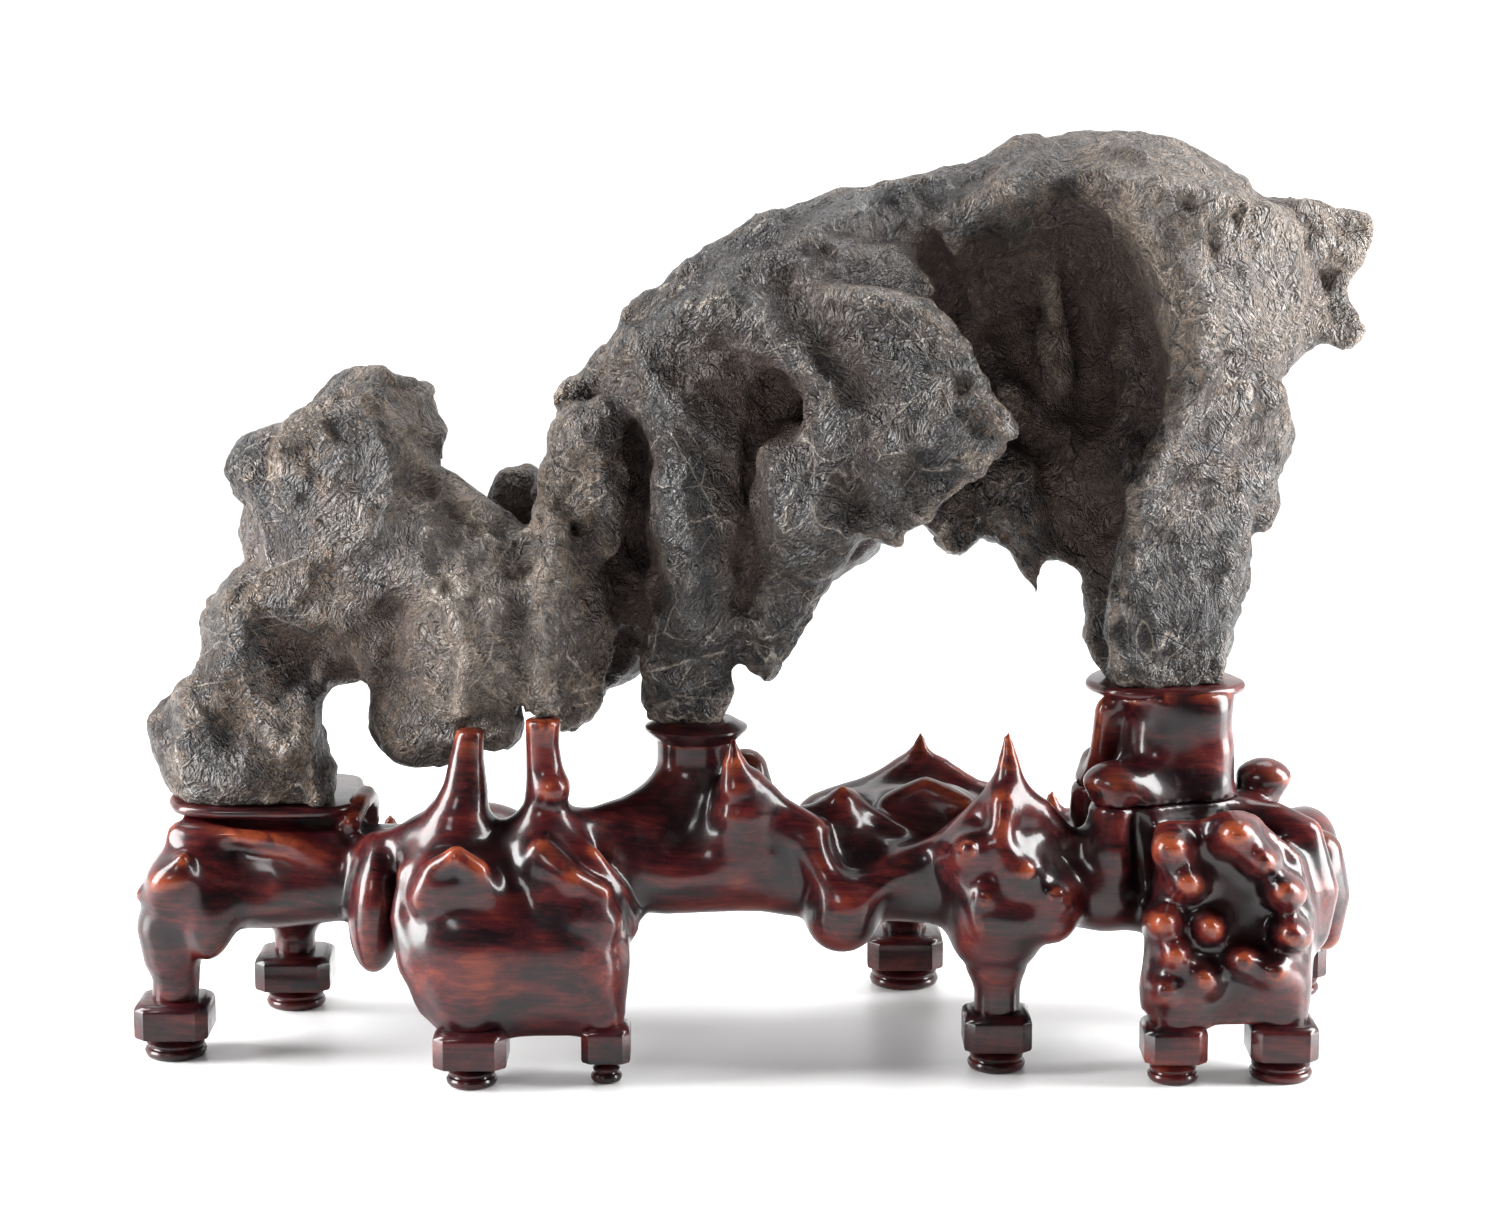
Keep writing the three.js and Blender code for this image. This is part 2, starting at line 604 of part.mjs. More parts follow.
// The back wall and the canopy, hollowed out between the snout and the right leg
function canopy(piece) {
  piece.crag([
    [74, 4, 230], [86, -4, 226], [100, 2, 238], [135, 6, 222], [145, 4, 205], [165, 4, 200], [76, 46, 240],
    [110, 48, 246], [140, 44, 226], [165, 42, 205], [76, 6, 335], [165, 6, 335], [76, 50, 340],
    [165, 50, 340],
  ], 6, 1);
  piece.crag([
    [74, -30, 352], [105, -42, 366], [150, -46, 369], [185, -44, 360], [204, -32, 354], [92, -12, 375],
    [106, -10, 383], [150, -12, 386], [168, -10, 384], [194, -6, 370], [78, 46, 356], [120, 50, 376],
    [168, 48, 376], [204, 40, 358], [84, -36, 310], [172, -46, 300], [90, 46, 300], [190, 40, 300],
  ], 6, 1);
  piece.crag([[80, -30, 320], [170, -46, 310], [165, -40, 240], [100, -10, 240], [84, 30, 310],
      [170, 30, 240]], 6, 1);
  piece.pit([130, -62, 298], [44, 74, 68], 12, 4);
  piece.pit([138, -30, 292], [25, 48, 44], 12);
  piece.pit([118, -50, 244], [27, 54, 28], 10);
  piece.pit([98, -26, 326], [12, 24, 22], 7, -10);
  piece.limb([[112, -16, 362, 7], [118, -4, 338, 6], [122, 6, 312, 6], [124, 12, 286, 7]], 9);
  piece.limb([[104, 4, 280, 7], [116, 8, 268, 6], [134, 12, 262, 6], [148, 4, 252, 7]], 9);
  piece.limb([[94, 0, 258, 9], [104, 2, 246, 9], [108, 2, 236, 11]], 8);
  piece.limb([[126, 6, 250, 8], [130, 8, 232, 9]], 8);
  piece.crag([
    [70, -18, 232], [72, -22, 226], [80, -20, 215], [86, -18, 214], [91, -12, 221], [96, -6, 228],
    [90, -14, 244], [72, 16, 230], [82, 14, 216], [94, 18, 228], [80, 14, 250],
  ], 4, 0.5);
}

// The snout that reaches over the great hollow
function snout(piece) {
  piece.crag([
    [108, -66, 263], [106, -67, 270], [99, -67, 278], [88, -65, 293], [78, -61, 310], [72, -56, 318],
    [40, -50, 324], [26, -44, 318], [30, -48, 262], [42, -48, 226], [58, -50, 219], [70, -53, 228],
    [86, -58, 239], [98, -62, 251], [64, -62, 284], [60, -60, 256],
    [40, 0, 320], [84, -30, 296], [98, -40, 264], [90, -34, 250], [56, 0, 226],
  ], 4, 0.3);
  piece.limb([[30, -46, 322, 4], [56, -55, 318, 4], [74, -58, 313, 3], [88, -65, 291, 3], [100, -68, 275,
    3],
      [106, -67, 264, 3]], 4);
  piece.limb([[100, -65, 254, 2.5], [84, -60, 241, 2.5], [70, -54, 231, 2.5]], 4);
}

// The right leg, with the flange and the tooth at its outer side
function rightLeg(piece) {
  piece.crag([
    [168, -44, 314], [216, -30, 314], [170, -47, 274], [211, -32, 274], [172, 34, 312], [214, 28, 312],
    [172, 32, 276], [210, 26, 276],
  ], 6, 1);
  piece.limb([[160, 0, 300, 16], [164, -4, 270, 16]]);
  piece.crag([
    [150, -42, 366], [200, -40, 358], [220, -26, 346], [220, -26, 302], [182, -50, 300], [165, -45, 330],
    [160, 40, 366], [222, 30, 352], [218, 30, 296], [170, 40, 290],
  ], 6, 1);
  piece.crag([
    [178, -47, 286], [212, -34, 284], [218, -22, 268], [212, -22, 240], [168, -45, 250], [155, -40, 234],
    [178, 32, 286], [215, 26, 272], [210, 26, 236], [160, 28, 236],
  ], 6, 1);
  piece.crag([
    [154, -40, 226], [160, -45, 240], [202, -34, 240], [205, -22, 216], [197, -24, 190], [192, -24, 158],
    [152, -30, 156], [147, -26, 180], [152, 25, 225], [203, 22, 226], [190, 16, 158], [154, 16, 160],
  ], 5, 1);
  piece.crag([
    [138, -2, 200], [139, -4, 184], [143, -6, 172], [150, -10, 162], [134, 4, 211], [150, -5, 222],
    [152, 26, 222], [143, 24, 180], [152, 22, 166], [140, 22, 205],
  ], 4, 1);
  piece.limb([[176, -44, 336, 6], [182, -48, 312, 7], [182, -49, 292, 7], [174, -47, 270, 7],
      [163, -45, 250, 6], [158, -43, 236, 5]], 7);
  piece.groove([[166, -52, 232, 5], [166, -50, 210, 5], [158, -46, 194, 5], [156, -42, 176, 5]], 4);
  piece.limb([[156, -44, 240, 2], [158, -43, 222, 2.2], [156, -41, 206, 2.2], [149, -37, 194, 2.2],
      [147, -34, 181, 2.2], [151, -33, 164, 2.2]], 3);
  piece.crag([
    [205, -14, 360], [232, -6, 357], [242, -2, 354], [249, -2, 351], [249, -2, 342], [246, 0, 332],
    [242, -1, 323], [230, -5, 312], [215, -14, 304], [210, 26, 356], [236, 18, 350], [246, 14, 344],
    [240, 12, 328], [215, 26, 304],
  ], 3, 0.5);
  piece.crag([
    [226, -5, 304], [233, -9, 302], [241, -11, 297], [249, -8, 304], [249, -6, 309], [243, -4, 320],
    [230, -6, 322], [228, 10, 303], [240, 8, 300], [246, 8, 308], [241, 8, 318],
  ], 3, 0.3);
  piece.crag([
    [205, -20, 330], [226, -10, 322], [230, -2, 304], [216, -20, 292], [208, -28, 280], [205, 28, 330],
    [226, 20, 322], [229, 14, 304], [214, 24, 290], [206, 28, 280],
  ], 4, 1);
  piece.pit([234, -20, 325], [7, 17, 8], 3);
  piece.crag([[212, -18, 276], [220, -10, 272], [222, -6, 262], [217, -10, 250], [208, -22, 258],
      [214, 14, 274], [219, 14, 262], [212, 14, 250]], 3, 0.5);
  piece.crag([[206, -18, 248], [214, -8, 244], [215, -6, 234], [208, -14, 222], [200, -22, 232],
      [208, 14, 246], [212, 12, 234], [204, 14, 224]], 3, 0.5);
  piece.crag([[202, -12, 220], [209, -4, 214], [204, -8, 200], [196, -16, 208], [204, 12, 216],
      [200, 12, 204]], 3, 0.3);
}

// Wide niches between low ridges, behind
function back(piece) {
  for (const [centre, radii] of [
    [[62, 84, 300], [34, 40, 36]], [[150, 82, 312], [26, 40, 42]], [[-8, 72, 292], [22, 36, 24]],
    [[192, 62, 240], [18, 36, 28]], [[-168, 56, 236], [17, 30, 17]], [[-112, 52, 190], [20, 30, 26]],
    [[112, 80, 262], [16, 36, 20]], [[-208, 48, 160], [14, 24, 12]], [[10, 66, 236], [14, 34, 24]],
  ]) {
    piece.pit(centre, radii, 9);
  }
  for (const [centre, radii] of [
    [[22, 40, 316], [26, 18, 14]], [[108, 46, 332], [14, 16, 30]], [[86, 42, 262], [20, 18, 14]],
    [[192, 34, 296], [15, 18, 24]], [[-148, 26, 262], [15, 14, 15]], [[-206, 24, 138], [15, 12, 14]],
    [[-58, 26, 180], [18, 18, 22]], [[34, 38, 250], [9, 16, 26]], [[172, 26, 206], [14, 16, 22]],
  ]) {
    piece.lump(centre, radii, 9);
  }
}

// The point that hangs in the arch
function hangingPoint(piece) {
  piece.limb([[104, -2, 244, 14], [109, -2, 230, 11.5], [113, -2, 217, 8.5], [116, -2, 206, 5.5],
      [117, -2, 200, 2.8]], 5);
}

function makeStone() {
  const stone = new Piece([-266, -90, 84], [272, 94, 402], STONE.cell, -40);
  for (const form of [
    leftFoot, head, chest, knob, archMiddle, secondFoot, canopy, snout, rightLeg, back,
  ]) {
    form(stone);
  }
  stone.wear(1);
  stone.weather(STONE.swell, STONE.swellLength);
  hangingPoint(stone);
  return stone;
}

// The stand

// The low body that joins everything, with a raised rail along its front and back
function body(piece) {
  piece.crag([
    [-230, -32, 98], [-172, -34, 98], [-168, -38, 76], [-200, -42, 70], [-228, -38, 68], [-238, -18, 76],
    [-228, 32, 96], [-170, 34, 98], [-168, 36, 78], [-226, 32, 72], [-238, 8, 84],
  ], 10);
  piece.limb([[-226, -24, 79, 20], [-195, -27, 79, 19], [-160, -26, 81, 17]], 8);
  piece.limb([[-234, -20, 82, 12], [-234, 6, 84, 13], [-226, 32, 84, 13], [-200, 40, 82, 12],
      [-168, 38, 84, 12]]);
  piece.limb([[-175, -4, 84, 20], [-130, -16, 84, 20], [-95, -30, 82, 22]]);
  piece.limb([[-190, 38, 80, 18], [-120, 42, 84, 16], [-60, 34, 88, 16], [-10, 20, 92, 18]]);
  piece.limb([[-60, -34, 86, 19], [-34, -34, 86, 20], [-8, -32, 86, 19], [20, -30, 84, 17]]);
  piece.limb([[20, -30, 84, 17], [60, -34, 80, 17], [90, -36, 80, 19], [140, -34, 80, 18]]);
  piece.limb([[-20, 22, 86, 18], [40, 34, 88, 18], [90, 36, 86, 18], [150, 36, 84, 20], [215, 34, 82, 20]]);
  piece.crag([
    [-60, -20, 96], [20, -20, 90], [100, -20, 92], [160, -20, 96], [-60, 20, 96], [100, 24, 94],
    [160, 24, 98], [-60, 0, 72], [160, 0, 74],
  ]);
  piece.clay.add(crag([
    [-236, -28, 104], [-168, -28, 104], [-168, 28, 104], [-232, 28, 104], [-238, -32, 90],
    [-166, -32, 90], [-166, 32, 90], [-236, 32, 90],
  ], 0), 6);
  piece.limb([[-236, -34, 100, 3], [-212, -40, 99, 3], [-190, -40, 96, 3], [-174, -38, 89, 3.5],
      [-166, -34, 80, 4]], 7);
  piece.groove([[-234, -46, 104, 2.5], [-205, -48, 103.5, 3], [-170, -44, 102, 3]], 5);
  piece.limb([[-160, -20, 106, 5], [-158, -20, 112, 3.5]], 5);
  piece.limb([[-50, -32, 98, 14], [-30, -30, 106, 14], [-14, -30, 104, 14]], 12);
}

// The leg at the far left, with its two-pointed burl
function leftLeg(piece) {
  piece.leg([[-242, -32, 20, 9.5], [-241, -32, 34, 10], [-242, -33, 44, 12.5], [-243, -34, 56, 13.5],
      [-238, -34, 70, 15], [-230, -34, 84, 13]], 9);
  piece.lump([-237, -44, 79], [12, 13, 11], 6);
  piece.limb([[-235, -46, 82, 7], [-234, -51, 89, 2.5]], 5);
  piece.limb([[-243, -42, 73, 7], [-251, -40, 74, 2.5]], 5);
  piece.pit([-240, -62, 68], [12, 10, 5], 7, -8);
  piece.pit([-207, -64, 76], [10, 17, 17], 8, -14);
  piece.lump([-222, -44, 62], [9, 9, 16], 10, 12);
}

// The front lobe on two legs, with its two posts
function postLobe(piece) {
  piece.lump([-118, -62, 52], [26, 27, 36], 8);
  piece.lump([-75, -60, 52], [24, 27, 35], 8);
  piece.lump([-96, -48, 80], [34, 26, 24], 10);
  piece.crag([
    [-130, -64, 28], [-112, -68, 20], [-72, -66, 20], [-60, -62, 28], [-58, -62, 48], [-132, -64, 48],
    [-126, -44, 26], [-62, -42, 26], [-120, -40, 60], [-64, -40, 60],
  ], 12);
  piece.leg([[-114, -73, 18, 9], [-115, -72, 34, 13]], 9);
  piece.leg([[-59, -69, 18, 6.5], [-60, -69, 28, 8], [-66, -68, 44, 14]], 9);
  piece.lump([-154, -42, 70], [12, 23, 29], 7, 4);
  piece.limb([[-160, -30, 86, 8], [-150, -40, 92, 8], [-136, -48, 96, 10]], 8);
  piece.limb([[-141, -66, 82, 4.5], [-143, -68, 64, 5], [-138, -72, 46, 7]], 8);
  piece.lump([-121, -72, 82], [15, 13, 13], 8);
  piece.limb([[-111, -76, 78, 6], [-121, -82, 89, 5], [-133, -80, 75, 5]], 6);
  piece.pit([-122, -96, 70], [10, 12, 7], 8);
  piece.limb([[-121, -76, 84, 7], [-121, -86, 82, 3.5]], 6);
  piece.limb([[-84, -70, 84, 8], [-84, -82, 86, 4.5]], 8);
  piece.limb([[-69, -66, 72, 9], [-68, -80, 75, 4.5]], 8);
  piece.limb([[-72, -66, 60, 10], [-66, -78, 60, 5]], 10);
  piece.pit([-84, -94, 74], [8, 8, 6], 8);
  piece.limb([[-79, -54, 100, 4.5], [-66, -64, 90, 4.5], [-56, -62, 76, 5], [-51, -54, 60, 5]], 5);
  piece.limb([[-70, -46, 101, 4], [-56, -52, 88, 4], [-48, -48, 68, 5]], 5);
  piece.limb([[-114, -52, 146, 5.5], [-116, -52, 132, 7], [-117, -52, 118, 9.5], [-120, -52, 104, 14],
      [-124, -52, 92, 18]], 10);
  piece.limb([[-84.5, -52, 150, 7.5], [-85, -52, 138, 6.8], [-84, -52, 122, 8], [-84, -52, 112, 9],
      [-86, -52, 98, 14]], 10);
  piece.lump([-81, -56, 119], [7, 8, 6], 5);
}

// The socket for the stone's second foot, with the peak in front of it
function socket(piece) {
  piece.clay.add(turned([-22.5, -20], [[84, 30], [98, 24], [112, 19], [122, 16.5], [136, 16.5]]), 12);
  piece.limb([[-30, -22, 110, 13], [-50, -36, 104, 9], [-76, -48, 100, 8]], 10);
  piece.limb([[-2, 8, 126, 10], [0, 6, 106, 14]], 8);
  piece.limb([[-7, -46, 139, 1.3], [-6.5, -46, 129, 5], [-5, -45, 118, 9], [-3, -42, 108, 13.5],
      [-1, -38, 94, 17]], 8);
  piece.limb([[2, -42, 122, 3], [12, -40, 110, 5], [26, -42, 102, 5]], 10);
  piece.pit([-26, -60, 104], [9, 16, 16], 10, 20);
}

// Peaks and drops along the front rail
function rail(piece) {
  piece.limb([[14, -40, 102, 7], [24, -45, 96, 7], [31, -49, 84, 8], [38, -52, 70, 11]], 8);
  piece.lump([38, -46, 64], [15, 17, 14], 8);
  piece.limb([[40, -54, 72, 7], [54, -50, 80, 6], [70, -46, 88, 6], [84, -46, 94, 6]], 9);
  piece.pit([46, -60, 92], [11, 20, 9], 9, -20);
  piece.limb([[38, -26, 119, 1.6], [37.5, -26, 112, 6.5], [37, -25, 105, 11], [40, -24, 95, 16]], 8);
  piece.limb([[40, -22, 114, 3], [54, -24, 104, 4], [64, -28, 96, 5]], 7);
  piece.limb([[40, -20, 113, 3], [28, -24, 108, 4], [16, -28, 106, 5]], 7);
  piece.lump([74, -6, 106], [24, 16, 16], 10);
  piece.limb([[58, -14, 112, 4], [72, -14, 119, 4.5], [88, -20, 112, 4]], 8);
  piece.limb([[70, 28, 142, 1.2], [69.5, 28, 133, 4.5], [68, 28, 123, 10], [66, 26, 110, 17]], 8);
  piece.lump([62, 20, 104], [46, 18, 17], 10);
  piece.limb([[64, 28, 126, 5], [48, 26, 117, 6], [30, 20, 108, 8]], 9);
  piece.limb([[78, 28, 128, 4], [92, 28, 118, 5], [112, 24, 112, 6]], 9);
  piece.groove([[2, -66, 72, 8], [14, -64, 78, 7]], 10);
}

// The front leg right of the middle, with its horn and burls
function middleLeg(piece) {
  piece.leg([
    [102.5, -50, 20, 9.5], [102.5, -50, 34, 9.5], [102, -50, 46, 13], [102, -49, 60, 20],
    [104, -48, 76, 22], [107, -48, 92, 17], [108, -49, 106, 11], [106.5, -50, 118, 7.5],
    [106, -50, 130, 4.5], [105.5, -50, 141, 1.5],
  ], 10);
  piece.lump([92, -50, 88], [12, 16, 18], 8);
  piece.lump([121, -46, 74], [17, 15, 15], 8);
  piece.limb([[104, -50, 113, 8], [118, -48, 108, 7], [130, -42, 96, 6]], 8);
  piece.limb([[96, -46, 108, 6], [88, -44, 98, 6], [80, -44, 92, 5]], 8);
  for (const [x, z, r] of [[90, 92, 7], [115, 83, 7.5], [96, 72, 7]]) {
    piece.lump([x, -66, z], [r, 10, r], 6);
  }
  piece.lump([130, -58, 72], [9, 11, 9], 7);
  piece.pit([104, -84, 92], [7, 10, 8], 8);
  piece.pit([106, -82, 70], [6, 8, 6], 7);
  piece.limb([[98, -68, 62, 5], [112, -66, 62, 5], [126, -58, 60, 5]], 10);
}

// The front lobe at the right, on two legs and covered with knobs
function knobbedLobe(piece) {
  piece.crag([
    [168, -64, 30], [170, -66, 52], [168, -62, 75], [172, -62, 98], [188, -64, 100], [208, -60, 100],
    [222, -56, 88], [229, -54, 66], [227, -56, 45], [223, -60, 28], [188, -68, 24], [206, -68, 24],
    [170, -40, 30], [172, -36, 95], [226, -36, 85], [228, -40, 30],
  ], 12, 5);
  piece.leg([[175, -67, 20, 9.5], [176, -67, 40, 12]], 9);
  piece.leg([[219, -63, 20, 9.5], [218, -65, 40, 12]], 9);
  const knobs = [
    [172, 93, 9], [181, 79, 9], [173, 66, 7], [198, 96, 12], [210, 91, 9], [222, 76, 9], [218, 60, 9],
    [230, 57, 6], [173, 53, 9], [191, 60, 7], [186, 43, 8], [217, 43, 9], [172, 36, 8], [204, 76, 10],
    [185, 98, 7], [203, 54, 9], [227, 44, 7], [200, 36, 9],
  ];
  for (const [x, z, r] of knobs) {
    piece.limb([[x, -62, z, r], [x, -71, z + 1, r * 0.85], [x, -80, z + 2, r * 0.35]], 6);
  }
}

// The tower for the stone's right foot
function tower(piece) {
  const profile = [[84, 34], [100, 28], [116, 25], [130, 23.5], [144, 23.5], [153, 27]];
  piece.clay.add(turned([176, -8], profile, { deep: 1.1, square: 2.4 }), 10);
  piece.limb([[151, -42, 122, 10], [152, -44, 110, 11], [149, -44, 92, 12], [147, -42, 74, 13]], 7);
  piece.lump([150, -44, 123], [11, 10, 7], 6);
  piece.limb([[136, -38, 78, 12], [150, -38, 74, 12], [160, -38, 70, 10]], 10);
  piece.pit([161, -58, 96], [5, 18, 24], 7, -6);
  piece.lump([187, -34, 150], [9, 8, 7], 7);
  piece.lump([189, -36, 135], [10, 9, 8], 7);
  piece.lump([186, -36, 118], [10, 9, 8], 8);
  piece.limb([[172, -34, 152, 6], [168, -34, 132, 6], [168, -36, 112, 8]], 9);
  piece.groove([[179, -48, 158, 5], [179, -50, 138, 5], [177, -52, 122, 4]], 7);
  piece.groove([[161, -44, 154, 5], [162, -46, 136, 5]], 7);
  piece.limb([[146, -22, 152, 5], [144, -18, 134, 5], [142, -6, 118, 8]], 7);
  piece.limb([[142, 0, 130, 7], [140, -2, 110, 9]], 8);
}

// The right end and its corner leg
function rightEnd(piece) {
  piece.limb([[211, -12, 123, 8], [212, -12, 112, 7], [212, -12, 100, 11]], 7);
  piece.limb([[203, -28, 106, 9], [216, -32, 106, 7], [228, -34, 99, 8], [232, -34, 76, 11],
      [230, -34, 60, 10]], 8);
  piece.limb([[236, 2, 92, 8], [239, 2, 74, 9], [237, 2, 58, 8]], 8);
  piece.lump([231, 8, 80], [11, 22, 22]);
  piece.leg([[241, 62, 20, 9], [241, 62, 32, 9], [240, 58, 54, 16], [232, 36, 74, 15]]);
}

// The back legs and the knobs behind
function backLegs(piece) {
  piece.leg([[-200.7, 41, 20, 9], [-200.7, 41, 32, 9], [-200, 40, 52, 15], [-198, 34, 70, 18]]);
  piece.leg([[69.6, 76, 20, 10], [69.6, 76, 32, 10], [69, 68, 52, 18], [68, 50, 70, 22]]);
  for (const [centre, radii] of [
    [[70, 62, 98], [30, 22, 20]], [[-200, 42, 94], [26, 18, 18]], [[-112, 48, 96], [28, 20, 18]],
    [[150, 46, 100], [26, 18, 16]], [[229, 46, 94], [14, 22, 18]], [[-20, 40, 98], [24, 16, 16]],
  ]) {
    piece.lump(centre, radii, 10);
  }
  for (const [x, y, z, r] of [
    [52, 80, 102, 7], [72, 84, 94, 8], [90, 76, 106, 7], [-214, 58, 98, 7], [-192, 60, 92, 7],
    [-126, 66, 100, 7], [-100, 66, 94, 8], [140, 62, 102, 7], [164, 62, 96, 7], [234, 64, 96, 7],
    [-30, 54, 102, 6], [222, 64, 104, 6],
  ]) {
    piece.lump([x, y, z], [r, r, r], 5);
  }
  for (const [x, y, z] of [[-56, 40, 112], [124, 42, 116], [-148, 44, 106]]) {
    piece.limb([[x, y, z, 2], [x, y, z - 10, 6], [x, y, z - 24, 12]], 8);
  }
}

function makeStand() {
  const stand = new Piece([-274, -112, -14], [276, 112, 176], STAND.cell, -50);
  for (const form of [
    body, leftLeg, postLobe, socket, rail, middleLeg, knobbedLobe, tower, rightEnd, backLegs,
  ]) {
    form(stand);
  }
  return stand;
}

// Seats: thin flared tops on the left end, on the collar of the middle foot and on the riser
const COLLAR = { at: [-22.5, -20], rim: 21.5, neck: 16.5, thick: 9, droop: 3, steps: 20 };
const PLATE = { thick: 5, flare: 3, straight: 0.5 };
const LEFT_PLATE = [
  [-246, -12], [-240, -30], [-226, -37], [-196, -38], [-174, -36], [-163, -24], [-164, 6], [-168, 28],
  [-190, 37],
  [-222, 36], [-240, 24],
];
const RIGHT_PLATE = [
  [140, -12], [148, -31], [160, -37], [172, -35], [186, -38], [200, -30], [209, -15], [203, 6], [192, 18],
  [170, 23], [152, 17], [143, 2],
];

// Turned feet: a chamfered block over a waist and a rounded pad, [x, y, pad width, block width]. The
// block's corners are cut off beyond `flat` of its half width.
const FEET = [
  [-242, -32, 26, 31], [-114, -73, 21, 30], [-59, -69, 13, 20], [102.5, -50, 24, 28], [174, -67, 21, 26],
  [219, -63, 26, 28], [-200.7, 41, 26, 33], [69.6, 76, 31, 34], [241, 62, 28, 31],
];
const FOOT = { pad: 7, waist: 9, block: 24, chamfer: 2.5, flat: 0.45, inset: 2.5, bevel: 2, steps: 12 };

// Boxes that the pieces are cut with, [low corner, high corner]. The seats are flat, and the stone is
// kept clear of the two posts.
const rest = (seat) => seat + SEAT_GAP;
const STONE_CUTS = [
  [[-280, -80, 0], [-150, 80, rest(SEAT.left)]],
  [[-56, -80, 0], [-2, 80, rest(SEAT.middle)]],
  [[130, -80, 0], [215, 80, rest(SEAT.right)]],
  [[-127, -66, 0], [-101, -42, rest(SEAT.postLeft)]],
  [[-96, -66, 0], [-73, -42, rest(SEAT.postRight)]],
];
const UNDER_PLATE = 2; // how far the wood stops under the top of the left plate
const STAND_CUTS = [
  [[-130, -90, SEAT.postLeft], [-100, 0, 200]],
  [[-100, -90, SEAT.postRight], [-70, 0, 200]],
  [[-270, -60, SEAT.left - UNDER_PLATE], [-168, 60, 200]],
];
const BELOW_FLOOR = [[-300, -200, -60], [300, 200, 0]];

// The riser is a piece of its own, glued on along a level joint and drawn back from it by a gap. Above
// its shoulder it takes in the whole flared plate.
const RISER = { low: [130, -56], high: [205, 50], shoulder: 140, lap: 1, wide: [[118, -66], [222, 50]],
  top: 200 };

// Meshes in and out of the solid joiner
function solidOf(positions, triangles) {
  return new wasm.Manifold(new wasm.Mesh({
    numProp: 3,
    vertProperties: new Float32Array(positions.flatMap((p) => p.toArray())),
    triVerts: new Uint32Array(triangles.flat()),
  }));
}

function solidOfGeometry(geometry) {
  const known = new Map();
  const positions = [];
  const place = geometry.getAttribute("position");
  const same = Array.from({ length: place.count }, (_, i) => {
    const point = new THREE.Vector3().fromBufferAttribute(place, i);
    const key = point.toArray().map((c) => Math.round(c * 1e3)).join(" ");
    if (!known.has(key)) known.set(key, positions.push(point) - 1);
    return known.get(key);
  });
  const order = geometry.index ? [...geometry.index.array] : same.map((_, i) => i);
  const triangles = [];
  for (let i = 0; i < order.length; i += 3) {
    const [a, b, c] = [same[order[i]], same[order[i + 1]], same[order[i + 2]]];
    if (a !== b && b !== c && c !== a) triangles.push([a, b, c]);
  }
  return solidOf(positions, triangles);
}

// A turned solid round a vertical axis through [x, y], from points [radius, height]
function turnedSolid([x, y], profile, steps) {
  const points = profile.map(([radius, height]) => new THREE.Vector2(radius, height));
  const geometry = new THREE.LatheGeometry(points, steps);
  geometry.rotateX(Math.PI / 2);
  geometry.translate(x, y, 0);
  return solidOfGeometry(geometry);
}

function block(low, high) {
  const geometry = new THREE.BoxGeometry(...high.map((h, i) => h - low[i]));
  geometry.translate(...high.map((h, i) => (h + low[i]) / 2));
  return solidOfGeometry(geometry);
}

function foot([x, y, pad, wide]) {
  const r = pad / 2;
  const half = wide / 2;
  const { pad: p, waist, block: top, chamfer, flat, inset, bevel, steps } = FOOT;
  const inBlock = waist + 1;
  const lower = turnedSolid([x, y], [
    [0, 0], [r - bevel, 0], [r, p / 2], [r - inset, p], [r - inset, inBlock], [0, inBlock],
  ], steps);
  const cut = half * flat;
  const shape = new THREE.Shape([
    [half, cut], [cut, half], [-cut, half], [-half, cut], [-half, -cut], [-cut, -half], [cut, -half],
    [half, -cut],
  ].map(([u, v]) => new THREE.Vector2(u * (1 - chamfer / half), v * (1 - chamfer / half))));
  const upper = new THREE.ExtrudeGeometry(shape, {
    depth: top - waist - 2 * chamfer,
    bevelThickness: chamfer,
    bevelSize: chamfer,
    bevelSegments: 1,
  });
  upper.translate(x, y, waist + chamfer);
  return lower.add(solidOfGeometry(upper));
}

function meshOf(name, solid, material) {
  const { vertProperties, triVerts } = solid.getMesh();
  const geometry = new THREE.BufferGeometry();
  geometry.setAttribute("position", new THREE.BufferAttribute(new Float32Array(vertProperties), 3));
  geometry.setIndex([...triVerts]);
  geometry.computeVertexNormals();
  const mesh = new THREE.Mesh(geometry, material);
  mesh.name = name;
  return mesh;
}

function thinSolid(piece, faces) {
  const { positions, triangles } = thinned(surfaceOf(piece.clay), faces);
  return solidOf(positions, triangles);
}

function plate(outline, top) {
  const { thick, flare, straight } = PLATE;
  const corners = outline.map(([x, y]) => new THREE.Vector2(x, y));
  const middle = new THREE.Vector2();
  for (const corner of corners) middle.addScaledVector(corner, 1 / corners.length);
  const inner = corners.map((corner) => {
    const out = corner.clone().sub(middle);
    return out.setLength(out.length() - flare).add(middle);
  });
  const curve = new THREE.SplineCurve([...inner, inner[0]]);
  const geometry = new THREE.ExtrudeGeometry(new THREE.Shape(curve.getPoints(2 * outline.length)), {
    depth: straight,
    bevelThickness: (thick - straight) / 2,
    bevelSize: flare,
    bevelSegments: 1,
  });
  geometry.translate(0, 0, top - (thick + straight) / 2);
  return solidOfGeometry(geometry);
}

function collar() {
  const { at, rim, neck, thick, droop, steps } = COLLAR;
  const top = SEAT.middle;
  return turnedSolid(at, [
    [0, top - thick], [neck, top - thick], [rim - 1, top - droop - 2], [rim, top - droop - 0.5],
    [rim - 1, top - droop + 0.5], [neck, top], [0, top],
  ], steps);
}

